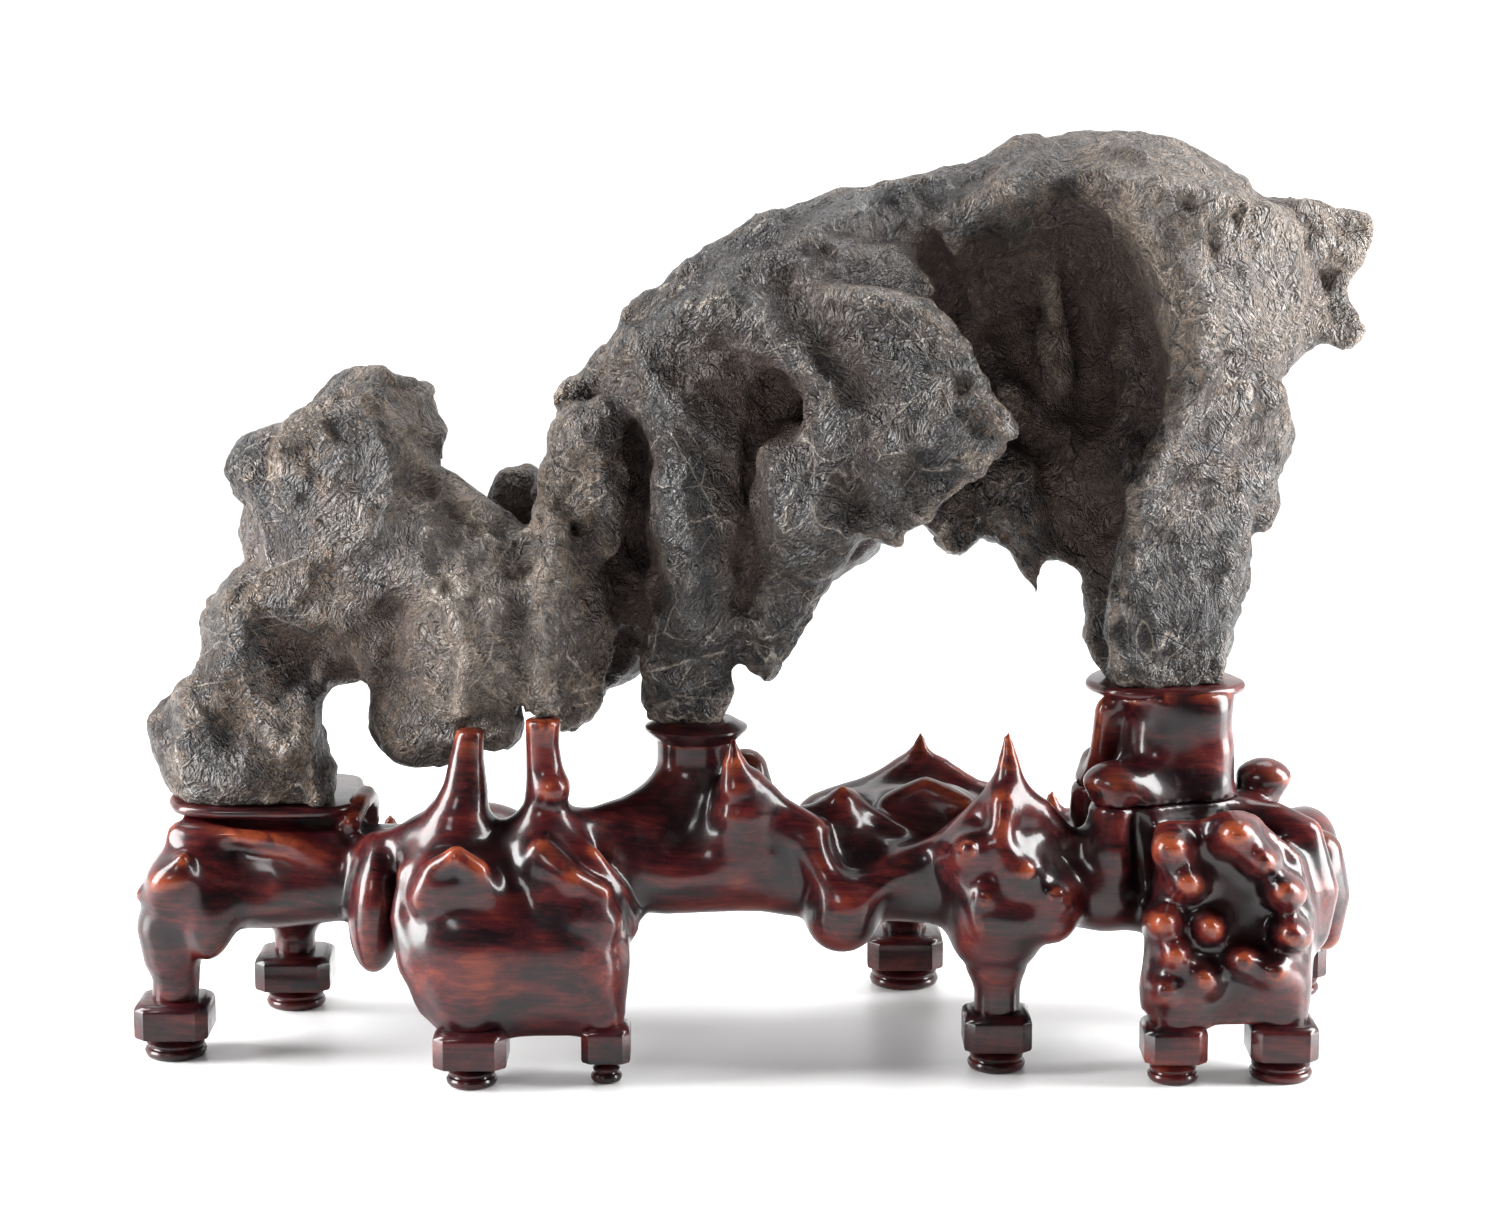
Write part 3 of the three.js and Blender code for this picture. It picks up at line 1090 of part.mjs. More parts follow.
// The blocks that hold the riser
function riserSpace(gap) {
  const { low, high, shoulder, lap, wide, top } = RISER;
  const stem = block([...low, GLUE_LINE + gap], [high[0] - gap, high[1], shoulder + lap]);
  return stem.add(block([...wide[0], shoulder], [...wide[1], top]));
}

let stone = thinSolid(makeStone(), STONE.faces);
for (const [low, high] of STONE_CUTS) stone = stone.subtract(block(low, high));

let stand = thinSolid(makeStand(), STAND.faces);
for (const [low, high] of STAND_CUTS) stand = stand.subtract(block(low, high));
stand = stand.add(plate(LEFT_PLATE, SEAT.left)).add(plate(RIGHT_PLATE, SEAT.right)).add(collar());
for (const size of FEET) stand = stand.add(foot(size));
stand = stand.subtract(block(...BELOW_FLOOR));
const riser = stand.intersect(riserSpace(GLUE_GAP));
stand = stand.subtract(riserSpace(0));

const STONE_LOOK = new THREE.MeshStandardMaterial({ color: 0x5a544c, roughness: 0.7 });
const WOOD_LOOK = new THREE.MeshStandardMaterial({ color: 0x3a0f0c, roughness: 0.25 });
const pieces = { stone, stand, riser };
const whole = new THREE.Box3();
for (const piece of Object.values(pieces)) {
  const { min, max } = piece.boundingBox();
  whole.union(new THREE.Box3(new THREE.Vector3(...min), new THREE.Vector3(...max)));
}
const middle = whole.getCenter(new THREE.Vector3());
const group = new THREE.Group();
for (const [name, piece] of Object.entries(pieces)) {
  const look = name === "stone" ? STONE_LOOK : WOOD_LOOK.clone();
  group.add(meshOf(name, piece.translate(-middle.x, -middle.y, 0), look));
}
export default group;
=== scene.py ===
"""A lingbi scholar stone on its carved hardwood stand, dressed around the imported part.

The stone and the carved wood are worked like clay: named forms are added to and carved from a lattice of
distances, whose surface becomes the mesh. The turned feet and the seats are made with mesh operators.
Forms are in millimetres, meshes and materials in metres.
"""

import logging
import math
from dataclasses import dataclass, field
from enum import Enum
from typing import Iterable, Protocol, Sequence

import bmesh
import bpy
import numpy as np
import openvdb
from mathutils import Matrix, Vector


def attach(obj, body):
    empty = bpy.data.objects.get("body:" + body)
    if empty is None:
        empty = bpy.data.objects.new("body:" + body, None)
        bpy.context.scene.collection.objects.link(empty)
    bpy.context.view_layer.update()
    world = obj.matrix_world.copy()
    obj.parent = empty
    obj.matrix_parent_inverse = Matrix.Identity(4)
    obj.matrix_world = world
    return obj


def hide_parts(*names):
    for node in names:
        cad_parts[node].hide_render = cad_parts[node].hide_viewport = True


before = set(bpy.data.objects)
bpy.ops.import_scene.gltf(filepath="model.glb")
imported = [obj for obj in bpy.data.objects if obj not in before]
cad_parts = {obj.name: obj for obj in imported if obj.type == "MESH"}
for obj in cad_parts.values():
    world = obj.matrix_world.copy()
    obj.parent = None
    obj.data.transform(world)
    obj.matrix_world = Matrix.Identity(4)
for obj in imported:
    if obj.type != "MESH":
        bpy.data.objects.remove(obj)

LOG = logging.getLogger("scholar_stone")
MM = 0.001
CENTRE = (1.42, 1.222)  # how far the forms' own origin lies from the middle of the whole object

Point = Sequence[float]
Ball = Sequence[float]
Colour = tuple[float, float, float]


@dataclass(frozen=True)
class Seats:
    """Heights in millimetres of what the stone stands on."""

    left: float = 107
    middle: float = 142
    right: float = 157
    post_left: float = 144
    post_right: float = 149
    gap: float = 0.4
    glue_line: float = 111
    glue_gap: float = 0.3


@dataclass(frozen=True)
class Eye:
    """Where the photograph was taken from, in the forms' millimetres."""

    y: float = -1430
    z: float = 438
    pitch: float = 10
    lens: float = 82.66
    sensor: float = 36


SEATS = Seats()
EYE = Eye()
TINY = 1e-6  # keeps a division from failing
EVEN = (1, 1, 1)  # no stretch along any axis
SPREAD = ((-1, 1, 1), (1, -1, 1), (1, 1, -1))  # shapes that spread the three axes over a lattice
CUT_BLEND = 0.5  # millimetres by which the rim of a flat cut is worn
SAME_PLACE = 0.01  # millimetres within which two corners are one
SHARP_ANGLE = 38  # degrees from which an edge of a turned piece or a plate stays sharp
LATHE_STEPS = 40
NOISE_MIDDLE = 0.5  # what the values of a noise texture lie about
WARP_DETAIL = 2  # the finer clouds of the noise that pushes places about


class Node(Enum):
    """The CAD nodes that the pieces stand for."""

    STONE = "stone"
    STAND = "stand"
    RISER = "riser"


class Sum(Enum):
    """What a Math node works out."""

    ADD = "ADD"
    SUBTRACT = "SUBTRACT"
    MULTIPLY = "MULTIPLY"
    POWER = "POWER"
    ABSOLUTE = "ABSOLUTE"
    MAXIMUM = "MAXIMUM"


class Form(Protocol):
    """A shape with a box that holds it and a distance that is negative inside it."""

    def box(self) -> tuple[np.ndarray, np.ndarray]:
        """The lowest and the highest corner that hold the form."""

    def distance(self, x: np.ndarray, y: np.ndarray, z: np.ndarray) -> np.ndarray:
        """How far each place is from the form's surface."""


@dataclass(frozen=True)
class Limb:
    """A limb through balls of (x, y, z, radius)."""

    balls: Sequence[Ball]

    def box(self) -> tuple[np.ndarray, np.ndarray]:
        """The box round all the balls."""
        balls = np.array(self.balls)
        return (balls[:, :3] - balls[:, 3:]).min(axis=0), (balls[:, :3] + balls[:, 3:]).max(axis=0)

    def distance(self, x: np.ndarray, y: np.ndarray, z: np.ndarray) -> np.ndarray:
        """The distance to the nearest stretch between two balls.

        Args:
            x, y, z: places along each axis, ready to be spread over a lattice.

        Returns:
            The distances over the lattice.
        """
        nearest = None
        for start, end in zip(self.balls, self.balls[1:]):
            along = [b - a for a, b in zip(start[:3], end[:3])]
            length2 = sum(c * c for c in along)
            px, py, pz = x - start[0], y - start[1], z - start[2]
            share = np.clip((px * along[0] + py * along[1] + pz * along[2]) / length2, 0, 1)
            gaps = [p - share * step for p, step in zip((px, py, pz), along)]
            away = np.sqrt(gaps[0] ** 2 + gaps[1] ** 2 + gaps[2] ** 2)
            here = away - start[3] - share * (end[3] - start[3])
            nearest = here if nearest is None else np.minimum(nearest, here)
        return nearest


@dataclass(frozen=True)
class Egg:
    """An ellipsoid whose top leans by so many degrees towards +X."""

    centre: Point
    radii: Point
    lean: float = 0

    def box(self) -> tuple[np.ndarray, np.ndarray]:
        """A cube round the longest radius."""
        reach = max(self.radii)
        return np.array(self.centre) - reach, np.array(self.centre) + reach

    def distance(self, x: np.ndarray, y: np.ndarray, z: np.ndarray) -> np.ndarray:
        """The distance to the ellipsoid, near enough for blending.

        Args:
            x, y, z: places along each axis, ready to be spread over a lattice.

        Returns:
            The distances over the lattice.
        """
        cos, sin = math.cos(math.radians(self.lean)), math.sin(math.radians(self.lean))
        dx, dz = x - self.centre[0], z - self.centre[2]
        u = (dx * cos - dz * sin) / self.radii[0]
        v = (y - self.centre[1]) / self.radii[1]
        w = (dx * sin + dz * cos) / self.radii[2]
        size = np.sqrt(u * u + v * v + w * w)
        slope = np.sqrt((u / self.radii[0]) ** 2 + (v / self.radii[1]) ** 2 + (w / self.radii[2]) ** 2)
        return size * (size - 1) / np.maximum(slope, TINY)


@dataclass(frozen=True)
class Crag:
    """The convex block over the given corners, grown outwards by a little."""

    corners: Sequence[Point]
    grow: float = 2

    def box(self) -> tuple[np.ndarray, np.ndarray]:
        """The box round the corners, with the growth."""
        corners = np.array(self.corners)
        return corners.min(axis=0) - self.grow, corners.max(axis=0) + self.grow

    def distance(self, x: np.ndarray, y: np.ndarray, z: np.ndarray) -> np.ndarray:
        """The distance to the outermost of the block's faces.

        Args:
            x, y, z: places along each axis, ready to be spread over a lattice.

        Returns:
            The distances over the lattice.
        """
        hull = bmesh.new()
        for corner in self.corners:
            hull.verts.new(corner)
        bmesh.ops.convex_hull(hull, input=hull.verts)
        bmesh.ops.recalc_face_normals(hull, faces=hull.faces)
        most = None
        for face in hull.faces:
            normal = face.normal
            here = x * normal.x + y * normal.y + z * normal.z - normal.dot(face.verts[0].co)
            most = here if most is None else np.maximum(most, here)
        hull.free()
        return most - self.grow


@dataclass(frozen=True)
class Turned:
    """A turned form over (x, y) from a profile of (height, radius), deeper along Y and squared off."""

    at: tuple[float, float]
    profile: Sequence[tuple[float, float]]
    deep: float = 1
    square: float = 2

    def box(self) -> tuple[np.ndarray, np.ndarray]:
        """The box round the widest place of the profile.

        Returns:
            Its lowest and its highest corner.
        """
        widest = max(radius for _, radius in self.profile)
        reach = np.array([widest, widest * self.deep])
        low, high = np.array(self.at) - reach, np.array(self.at) + reach
        return np.array([*low, self.profile[0][0]]), np.array([*high, self.profile[-1][0]])

    def distance(self, x: np.ndarray, y: np.ndarray, z: np.ndarray) -> np.ndarray:
        """The distance across the axis, or past either end.

        Args:
            x, y, z: places along each axis, ready to be spread over a lattice.

        Returns:
            The distances over the lattice.
        """
        heights = [height for height, _ in self.profile]
        radius = np.interp(z, heights, [r for _, r in self.profile]).astype(np.float32)
        across = np.abs(x - self.at[0]) ** self.square + np.abs((y - self.at[1]) / self.deep) ** self.square
        side = across ** (1 / self.square) - radius
        return np.maximum(side, np.maximum(heights[0] - z, z - heights[-1]))


def share_of(corner: Sequence[int], part: np.ndarray) -> np.ndarray:
    """How much one corner of its cell counts at each place within the cell."""
    return np.prod([part[:, i] if bit else 1 - part[:, i] for i, bit in enumerate(corner)], axis=0)


class Noise:
    """Random values over space, smooth or in facets, and the same on every run."""

    SIDE = 64  # places of the lattice along each axis, before it repeats
    NUMBERS = 7  # for each place: its value, the three of its shift and the three of its tilt
    OFFSET = 1000  # cells that keep every place above 0
    SHIFT = 0.45  # how far a facet's middle strays from its cell's middle, in cells
    GRIP = 16  # how sharply one facet gives way to the next
    STEP = 0.5  # how far facets stand out by
    TILT = 1.4  # how much they lean

    def __init__(self, seed: int, length: float) -> None:
        """Draws the lattice of random values.

        Args:
            seed: which draw.
            length: the size of one swell, in millimetres.
        """
        self.length = length
        shape = (self.SIDE, self.SIDE, self.SIDE, self.NUMBERS)
        self.draw = np.random.default_rng(seed).uniform(-1, 1, shape).astype(np.float32)

    def at(self, points: np.ndarray) -> np.ndarray:
        """The values, from -1 to 1, at the points.

        Args:
            points: where it is read.

        Returns:
            One value for each point.
        """
        place = points / self.length + self.OFFSET
        base = np.floor(place).astype(int)
        part = place - base
        ease = part * part * (3 - 2 * part)
        total = np.zeros(len(points))
        for corner in np.ndindex(2, 2, 2):
            i, j, k = ((base + corner) % self.SIDE).T
            total += share_of(corner, ease) * self.draw[i, j, k, 0]
        return total

    def facets(self, points: np.ndarray) -> np.ndarray:
        """Flat patches that tilt at random and meet along soft ridges.

        Args:
            points: where it is read.

        Returns:
            Values from about -1 to 1.
        """
        place = points / self.length + self.OFFSET
        base = np.floor(place).astype(int)
        total, shares = np.zeros(len(points)), np.zeros(len(points))
        for corner in np.ndindex(3, 3, 3):
            cell = base + corner - 1
            i, j, k = (cell % self.SIDE).T
            own = self.draw[i, j, k]
            away = place - cell - 0.5 - own[:, 1:4] * self.SHIFT
            share = np.exp(-self.GRIP * (away * away).sum(axis=1))
            total += share * (own[:, 0] * self.STEP + (away * own[:, 4:7]).sum(axis=1) * self.TILT)
            shares += share
        return total / shares


class Clay:
    """A lattice of distances, to which forms are added and from which they are carved."""

    EMPTY = 10  # the distance, in cells, where there is no form
    END = 1.001  # cells that a sampled place keeps from the count of places
    FELT_CELLS = 2.5  # cells of the coarse lattice within the reach that is felt
    FELT_PASSES = 5  # how often the coarse lattice is worn
    FELT_GAIN = 2.2  # brings the felt numbers up to about 1

    def __init__(self, low: Point, high: Point, cell: float) -> None:
        """Makes an empty lattice.

        Args:
            low, high: its corners, in millimetres.
            cell: the spacing of its places.
        """
        self.low = np.array(low, dtype=np.float32)
        self.cell = cell
        count = np.ceil((np.array(high) - self.low) / cell).astype(int) + 1
        self.values = np.full(count, self.EMPTY * cell, dtype=np.float32)
        self.axes = [self.low[i] + cell * np.arange(count[i], dtype=np.float32) for i in range(3)]

    def spread(self) -> list[np.ndarray]:
        """The places along each axis, ready to be spread over the lattice."""
        return [axis.reshape(shape) for axis, shape in zip(self.axes, SPREAD)]

    def window(self, form: Form, reach: float) -> tuple[tuple[slice, ...], list[np.ndarray]]:
        """The part of the lattice that a form can change.

        Args:
            form: the form.
            reach: how far past its box the change may run.

        Returns:
            The slices, and the places along each axis, ready to be spread.
        """
        low, high = form.box()
        first = np.floor((low - reach - self.low) / self.cell).astype(int)
        last = np.ceil((high + reach - self.low) / self.cell).astype(int) + 1
        cut = tuple(slice(max(0, a), min(n, max(0, b))) for a, b, n in zip(first, last, self.values.shape))
        return cut, [axis[part].reshape(shape) for axis, part, shape in zip(self.axes, cut, SPREAD)]

    def add(self, form: Form, blend: float) -> None:
        """Adds a form, and fills the crease where it meets the rest over the blend's width.

        Args:
            form: the form.
            blend: how wide the crease or the rim is, in millimetres.
        """
        cut, places = self.window(form, blend + 2 * self.cell)
        old, here = self.values[cut], form.distance(*places)
        near = np.maximum(0, 1 - np.abs(old - here) / blend)
        self.values[cut] = np.minimum(old, here) - near * near * blend / 4

    def carve(self, form: Form, blend: float) -> None:
        """Carves a form away, and wears the rim round over the blend's width.

        Args:
            form: the form.
            blend: how wide the crease or the rim is, in millimetres.
        """
        cut, places = self.window(form, blend + 2 * self.cell)
        old, here = self.values[cut], form.distance(*places)
        near = np.maximum(0, 1 - np.abs(old + here) / blend)
        self.values[cut] = np.maximum(old, -here) + near * near * blend / 4

    def wear(self, passes: int) -> None:
        """Wears edges round by evening each place out with its neighbours along each axis.

        Args:
            passes: how often.
        """
        for _ in range(passes):
            for axis in range(3):
                old = self.values
                self.values = old / 2 + (np.roll(old, 1, axis) + np.roll(old, -1, axis)) / 4

    def skin(self, name: str) -> bpy.types.Object:
        """The surface where the distance is 0, as a mesh object in metres about the object's middle.

        Args:
            name: the object's name.

        Returns:
            The object.
        """
        grid = openvdb.FloatGrid(background=self.EMPTY * self.cell)
        grid.copyFromArray(self.values)
        points, quads = grid.convertToQuads()
        mesh = bpy.data.meshes.new(name)
        places = (points * self.cell + self.low - (*CENTRE, 0)) * MM
        mesh.from_pydata(places.tolist(), [], quads.tolist())
        obj = bpy.data.objects.new(name, mesh)
        bpy.context.collection.objects.link(obj)
        return obj

    def felt(self, points: np.ndarray, reach: float) -> np.ndarray:
        """How much open air there is round each point.

        Args:
            points: places on the surface, in millimetres.
            reach: how far round each point is felt.

        Returns:
            Values above 0 on crests and below 0 in hollows, about 1 at the most.
        """
        step = max(1, round(reach / (self.FELT_CELLS * self.cell)))
        coarse = Clay(tuple(self.low), tuple(self.low), self.cell * step)
        coarse.values = np.clip(self.values[::step, ::step, ::step], -reach, reach)
        coarse.wear(self.FELT_PASSES)
        return coarse.sample(points) / reach * self.FELT_GAIN

    def sample(self, points: np.ndarray) -> np.ndarray:
        """The lattice's values between its places, at the points.

        Args:
            points: where it is read.

        Returns:
            One value for each point.
        """
        place = np.clip((points - self.low) / self.cell, 0, np.array(self.values.shape) - self.END)
        base = np.floor(place).astype(int)
        part = place - base
        total = np.zeros(len(points))
        for corner in np.ndindex(2, 2, 2):
            i, j, k = (base + corner).T
            total += share_of(corner, part) * self.values[i, j, k]
        return total


@dataclass
class Piece:
    """A piece that is worked in clay, with the clay's corners and its spacing.

    Its forms are given as they look from the front: x and z on a plane through the piece, y as the real
    depth. Each is moved along the sight line from the eye to that depth.
    """

    low: Point
    high: Point
    cell: float
    plane: float
    clay: Clay = field(init=False)

    def __post_init__(self) -> None:
        """Starts with empty clay."""
        self.clay = Clay(self.low, self.high, self.cell)

    def place(self, point: Sequence[float]) -> tuple[float, ...]:
        """Moves a point from the plane to its own depth, and keeps what follows its three numbers.

        Args:
            point: the point as it looks from the front.

        Returns:
            The point where it really is.
        """
        x, y, z, *rest = point
        back = (y - self.plane) / (self.plane - EYE.y)
        return (x * (1 + back), y, z + (z - EYE.z) * back, *rest)

    def limb(self, balls: Sequence[Ball], blend: float = 8) -> None:
        """Adds a limb through the balls."""
        self.clay.add(Limb([self.place(ball) for ball in balls]), blend)

    def leg(self, balls: Sequence[Ball], blend: float = 8) -> None:
        """Adds a limb that is measured on the floor, so that it is already where it belongs."""
        self.clay.add(Limb(balls), blend)

    def lump(self, centre: Point, radii: Point, blend: float = 8, lean: float = 0) -> None:
        """Adds an ellipsoid."""
        self.clay.add(Egg(self.place(centre), radii, lean), blend)

    def crag(self, corners: Sequence[Point], blend: float = 8, grow: float = 2) -> None:
        """Adds a convex block over the corners."""
        self.clay.add(Crag([self.place(corner) for corner in corners], grow), blend)

    def pit(self, centre: Point, radii: Point, blend: float = 8, lean: float = 0) -> None:
        """Carves an ellipsoid away."""
        self.clay.carve(Egg(self.place(centre), radii, lean), blend)

    def groove(self, balls: Sequence[Ball], blend: float = 8) -> None:
        """Carves a limb away."""
        self.clay.carve(Limb([self.place(ball) for ball in balls]), blend)


@dataclass(frozen=True)
class Block:
    """An upright block between two corners."""

    low: Point
    high: Point

    def box(self) -> tuple[np.ndarray, np.ndarray]:
        """The block itself."""
        return np.array(self.low), np.array(self.high)

    def distance(self, x: np.ndarray, y: np.ndarray, z: np.ndarray) -> np.ndarray:
        """The distance to the nearest side, in or out."""
        sides = [np.maximum(a - p, p - b) for p, a, b in zip((x, y, z), self.low, self.high)]
        return np.maximum(np.maximum(sides[0], sides[1]), sides[2])


@dataclass(frozen=True)
class Cloud:
    """Cloudy noise: its size in millimetres, its finer clouds, their strength and how far it is bent."""

    size: float
    detail: float = 3
    rough: float = 0.5
    bend: float = 0


@dataclass(frozen=True)
class Fade:
    """The two values between which a mask fades in or out."""

    low: float
    high: float


@dataclass(frozen=True)
class Lines:
    """A net of lines: its turn in degrees, its size in millimetres and the share of a cell that is line."""

    turn: Point
    size: float
    share: float


class Value:
    """A shader socket that takes part in Python expressions."""

    def __init__(self, tree: "Tree", socket: bpy.types.NodeSocket) -> None:
        """Wraps a socket of the tree."""
        self.tree = tree
        self.socket = socket

    def __add__(self, other: "Value | float") -> "Value":
        """The sum."""
        return self.tree.math(Sum.ADD, self, other)

    def __sub__(self, other: "Value | float") -> "Value":
        """The difference."""
        return self.tree.math(Sum.SUBTRACT, self, other)

    def __rsub__(self, other: "Value | float") -> "Value":
        """The difference, the other way round."""
        return self.tree.math(Sum.SUBTRACT, other, self)

    def __mul__(self, other: "Value | float") -> "Value":
        """The product."""
        return self.tree.math(Sum.MULTIPLY, self, other)

    def __pow__(self, other: "Value | float") -> "Value":
        """The power."""
        return self.tree.math(Sum.POWER, self, other)

    __radd__ = __add__
    __rmul__ = __mul__

    def above(self, fade: Fade) -> "Value":
        """0 below the fade, 1 above it, and smooth between."""
        values = {"Value": self, "From Min": fade.low, "From Max": fade.high}
        return self.tree.node("MapRange", {"interpolation_type": "SMOOTHSTEP"}, values, "Result")

    def below(self, fade: Fade) -> "Value":
        """1 below the fade, 0 above it, and smooth between."""
        return 1 - self.above(fade)

    def ridge(self) -> "Value":
        """1 where a noise crosses its middle, falling to 0 away from there."""
        return 1 - self.tree.math(Sum.ABSOLUTE, (self - NOISE_MIDDLE) * 2, 0)


class Tree:
    """A material's nodes, made by expressions."""

    def __init__(self, name: str) -> None:
        """Starts an empty material with its shader.

        Args:
            name: the material's name.
        """
        self.material = bpy.data.materials.new(name)
        self.material.use_nodes = True
        self.nodes = self.material.node_tree.nodes
        self.links = self.material.node_tree.links
        self.shader = self.nodes["Principled BSDF"]
        self.place = self.node("TexCoord", {}, {}, "Object")

    def put(self, socket: bpy.types.NodeSocket, value: "Value | float | Sequence[float]") -> None:
        """Links or sets one socket.

        Args:
            socket: the socket.
            value: what it gets.
        """
        if isinstance(value, Value):
            self.links.new(value.socket, socket)
        else:
            socket.default_value = value

    def node(self, kind: str, settings: dict, values: dict, out: str | int) -> Value:
        """Makes any node.

        Args:
            kind: the node's type, without its prefix.
            settings: what is set before its sockets, such as an operation, or a ramp's stops.
            values: what goes to each input, by name or by number.
            out: the output that is wanted.

        Returns:
            That output.
        """
        made = self.nodes.new("ShaderNode" + kind)
        for name, value in settings.items():
            if name == "stops":
                self.stops(made, value)
            else:
                setattr(made, name, value)
        for name, value in values.items():
            self.put(made.inputs[name], value)
        return Value(self, made.outputs[out])

    def stops(self, ramp: bpy.types.Node, stops: Sequence[tuple[float, Colour]]) -> None:
        """Sets a ramp's stops of (position, colour).

        Args:
            ramp: the ramp.
            stops: its stops in order.
        """
        elements = ramp.color_ramp.elements
        for _ in range(len(stops) - 2):
            elements.new(0.5)
        for element, (position, colour) in zip(elements, stops):
            element.position = position
            element.color = (*colour, 1)

    def math(self, operation: Sum, a: "Value | float", b: "Value | float") -> Value:
        """One operation on two numbers."""
        return self.node("Math", {"operation": operation.value}, {0: a, 1: b}, 0)

    def mix(self, a: "Value | Colour", b: "Value | Colour", share: "Value | float") -> Value:
        """Two colours mixed.

        Args:
            a, b: the colours.
            share: how much of the second.

        Returns:
            The mixed colour.
        """
        colours = [c if isinstance(c, Value) else (*c, 1) for c in (a, b)]
        return self.node("Mix", {"data_type": "RGBA"}, {0: share, 6: colours[0], 7: colours[1]}, 2)

    def ramp(self, value: Value, stops: Sequence[tuple[float, Colour]]) -> Value:
        """A colour for each value."""
        return self.node("ValToRGB", {"stops": stops}, {0: value}, 0)

    def noise(self, place: Value, cloud: Cloud) -> Value:
        """Cloudy noise, with values about 0.5."""
        values = {"Detail": cloud.detail, "Roughness": cloud.rough, "Distortion": cloud.bend}
        return self.node("TexNoise", {}, {"Vector": place, "Scale": 1 / (cloud.size * MM), **values}, 0)

    def lines(self, place: Value, lines: Lines, stretch: Point) -> Value:
        """1 on the lines of a net, 0 beside them.

        Args:
            place: where it is read.
            lines: the net.
            stretch: how the net is stretched along each axis.

        Returns:
            The mask.
        """
        values = {"Vector": self.turned(place, lines.turn, stretch), "Scale": 1 / (lines.size * MM)}
        net = self.node("TexVoronoi", {"feature": "DISTANCE_TO_EDGE"}, values, 0)
        return net.below(Fade(0, lines.share))

    def turned(self, place: Value, turn: Point, stretch: Point = EVEN) -> Value:
        """The place turned by degrees and stretched, so that patterns run one way.

        Args:
            place: the place.
            turn: the degrees about each axis.
            stretch: the share along each axis.

        Returns:
            The turned place.
        """
        turn = [math.radians(angle) for angle in turn]
        scale = [1 / share for share in stretch]
        return self.node("Mapping", {"vector_type": "TEXTURE"}, {0: place, 2: turn, 3: scale}, 0)

    def warped(self, place: Value, size: float, reach: float) -> Value:
        """The place, pushed about by noise.

        Args:
            place: the place.
            size, reach: the size of the noise's swells and how far they push, in millimetres.

        Returns:
            The pushed place.
        """
        values = {"Vector": place, "Scale": 1 / (size * MM), "Detail": WARP_DETAIL}
        push = self.node("TexNoise", {}, values, 1)
        push = self.node("VectorMath", {"operation": "SUBTRACT"}, {0: push, 1: (NOISE_MIDDLE,) * 3}, 0)
        values = {0: push, "Scale": 2 * reach * MM}
        push = self.node("VectorMath", {"operation": "SCALE"}, values, 0)
        return self.node("VectorMath", {"operation": "ADD"}, {0: place, 1: push}, 0)

    def felt(self, name: str) -> Value:
        """A number that the mesh carries at each point."""
        return self.node("Attribute", {"attribute_name": name}, {}, "Fac")

    def bump(self, height: Value, depth: float, under: Value | None = None) -> Value:
        """A bump of so many millimetres, on top of another.

        Args:
            height: how high the surface is, from about 0 to 1.
            depth: the height of 1, in millimetres.
            under: the bump under it.

        Returns:
            The direction in which the surface faces.
        """
        values = {"Height": height, "Distance": depth * MM, "Strength": 1}
        if under:
            values["Normal"] = under
        return self.node("Bump", {}, values, 0)

    def finish(
        self, colour: Value, rough: Value, normal: Value, fixed: dict[str, float],
    ) -> bpy.types.Material:
        """Dresses the shader.

        Args:
            colour, rough, normal: what changes over the surface.
            fixed: what is the same all over, by socket.

        Returns:
            The material.
        """
        for name, value in {"Base Color": colour, "Roughness": rough, "Normal": normal, **fixed}.items():
            self.put(self.shader.inputs[name], value)
        return self.material


@dataclass(frozen=True)
class StoneCover:
    """How strongly each layer of the stone's finish covers the ones under it."""

    earth: float = 0.65
    # painted shade and painted light over whole zones of the stone
    shade: float = 0.56
    shade_stains: float = 0.5
    light: float = 0.9
    stain: float = 0.85
    stain_in_light: float = 0.35
    furrow: float = 0.75
    fold: float = 0.5
    # painted shade in the hollows
    cave_shade: float = 0.85
    crack: float = 0.8
    # painted highlight on the crests
    crest: float = 0.55
    scratch: float = 0.5
    fleck: float = 0.5


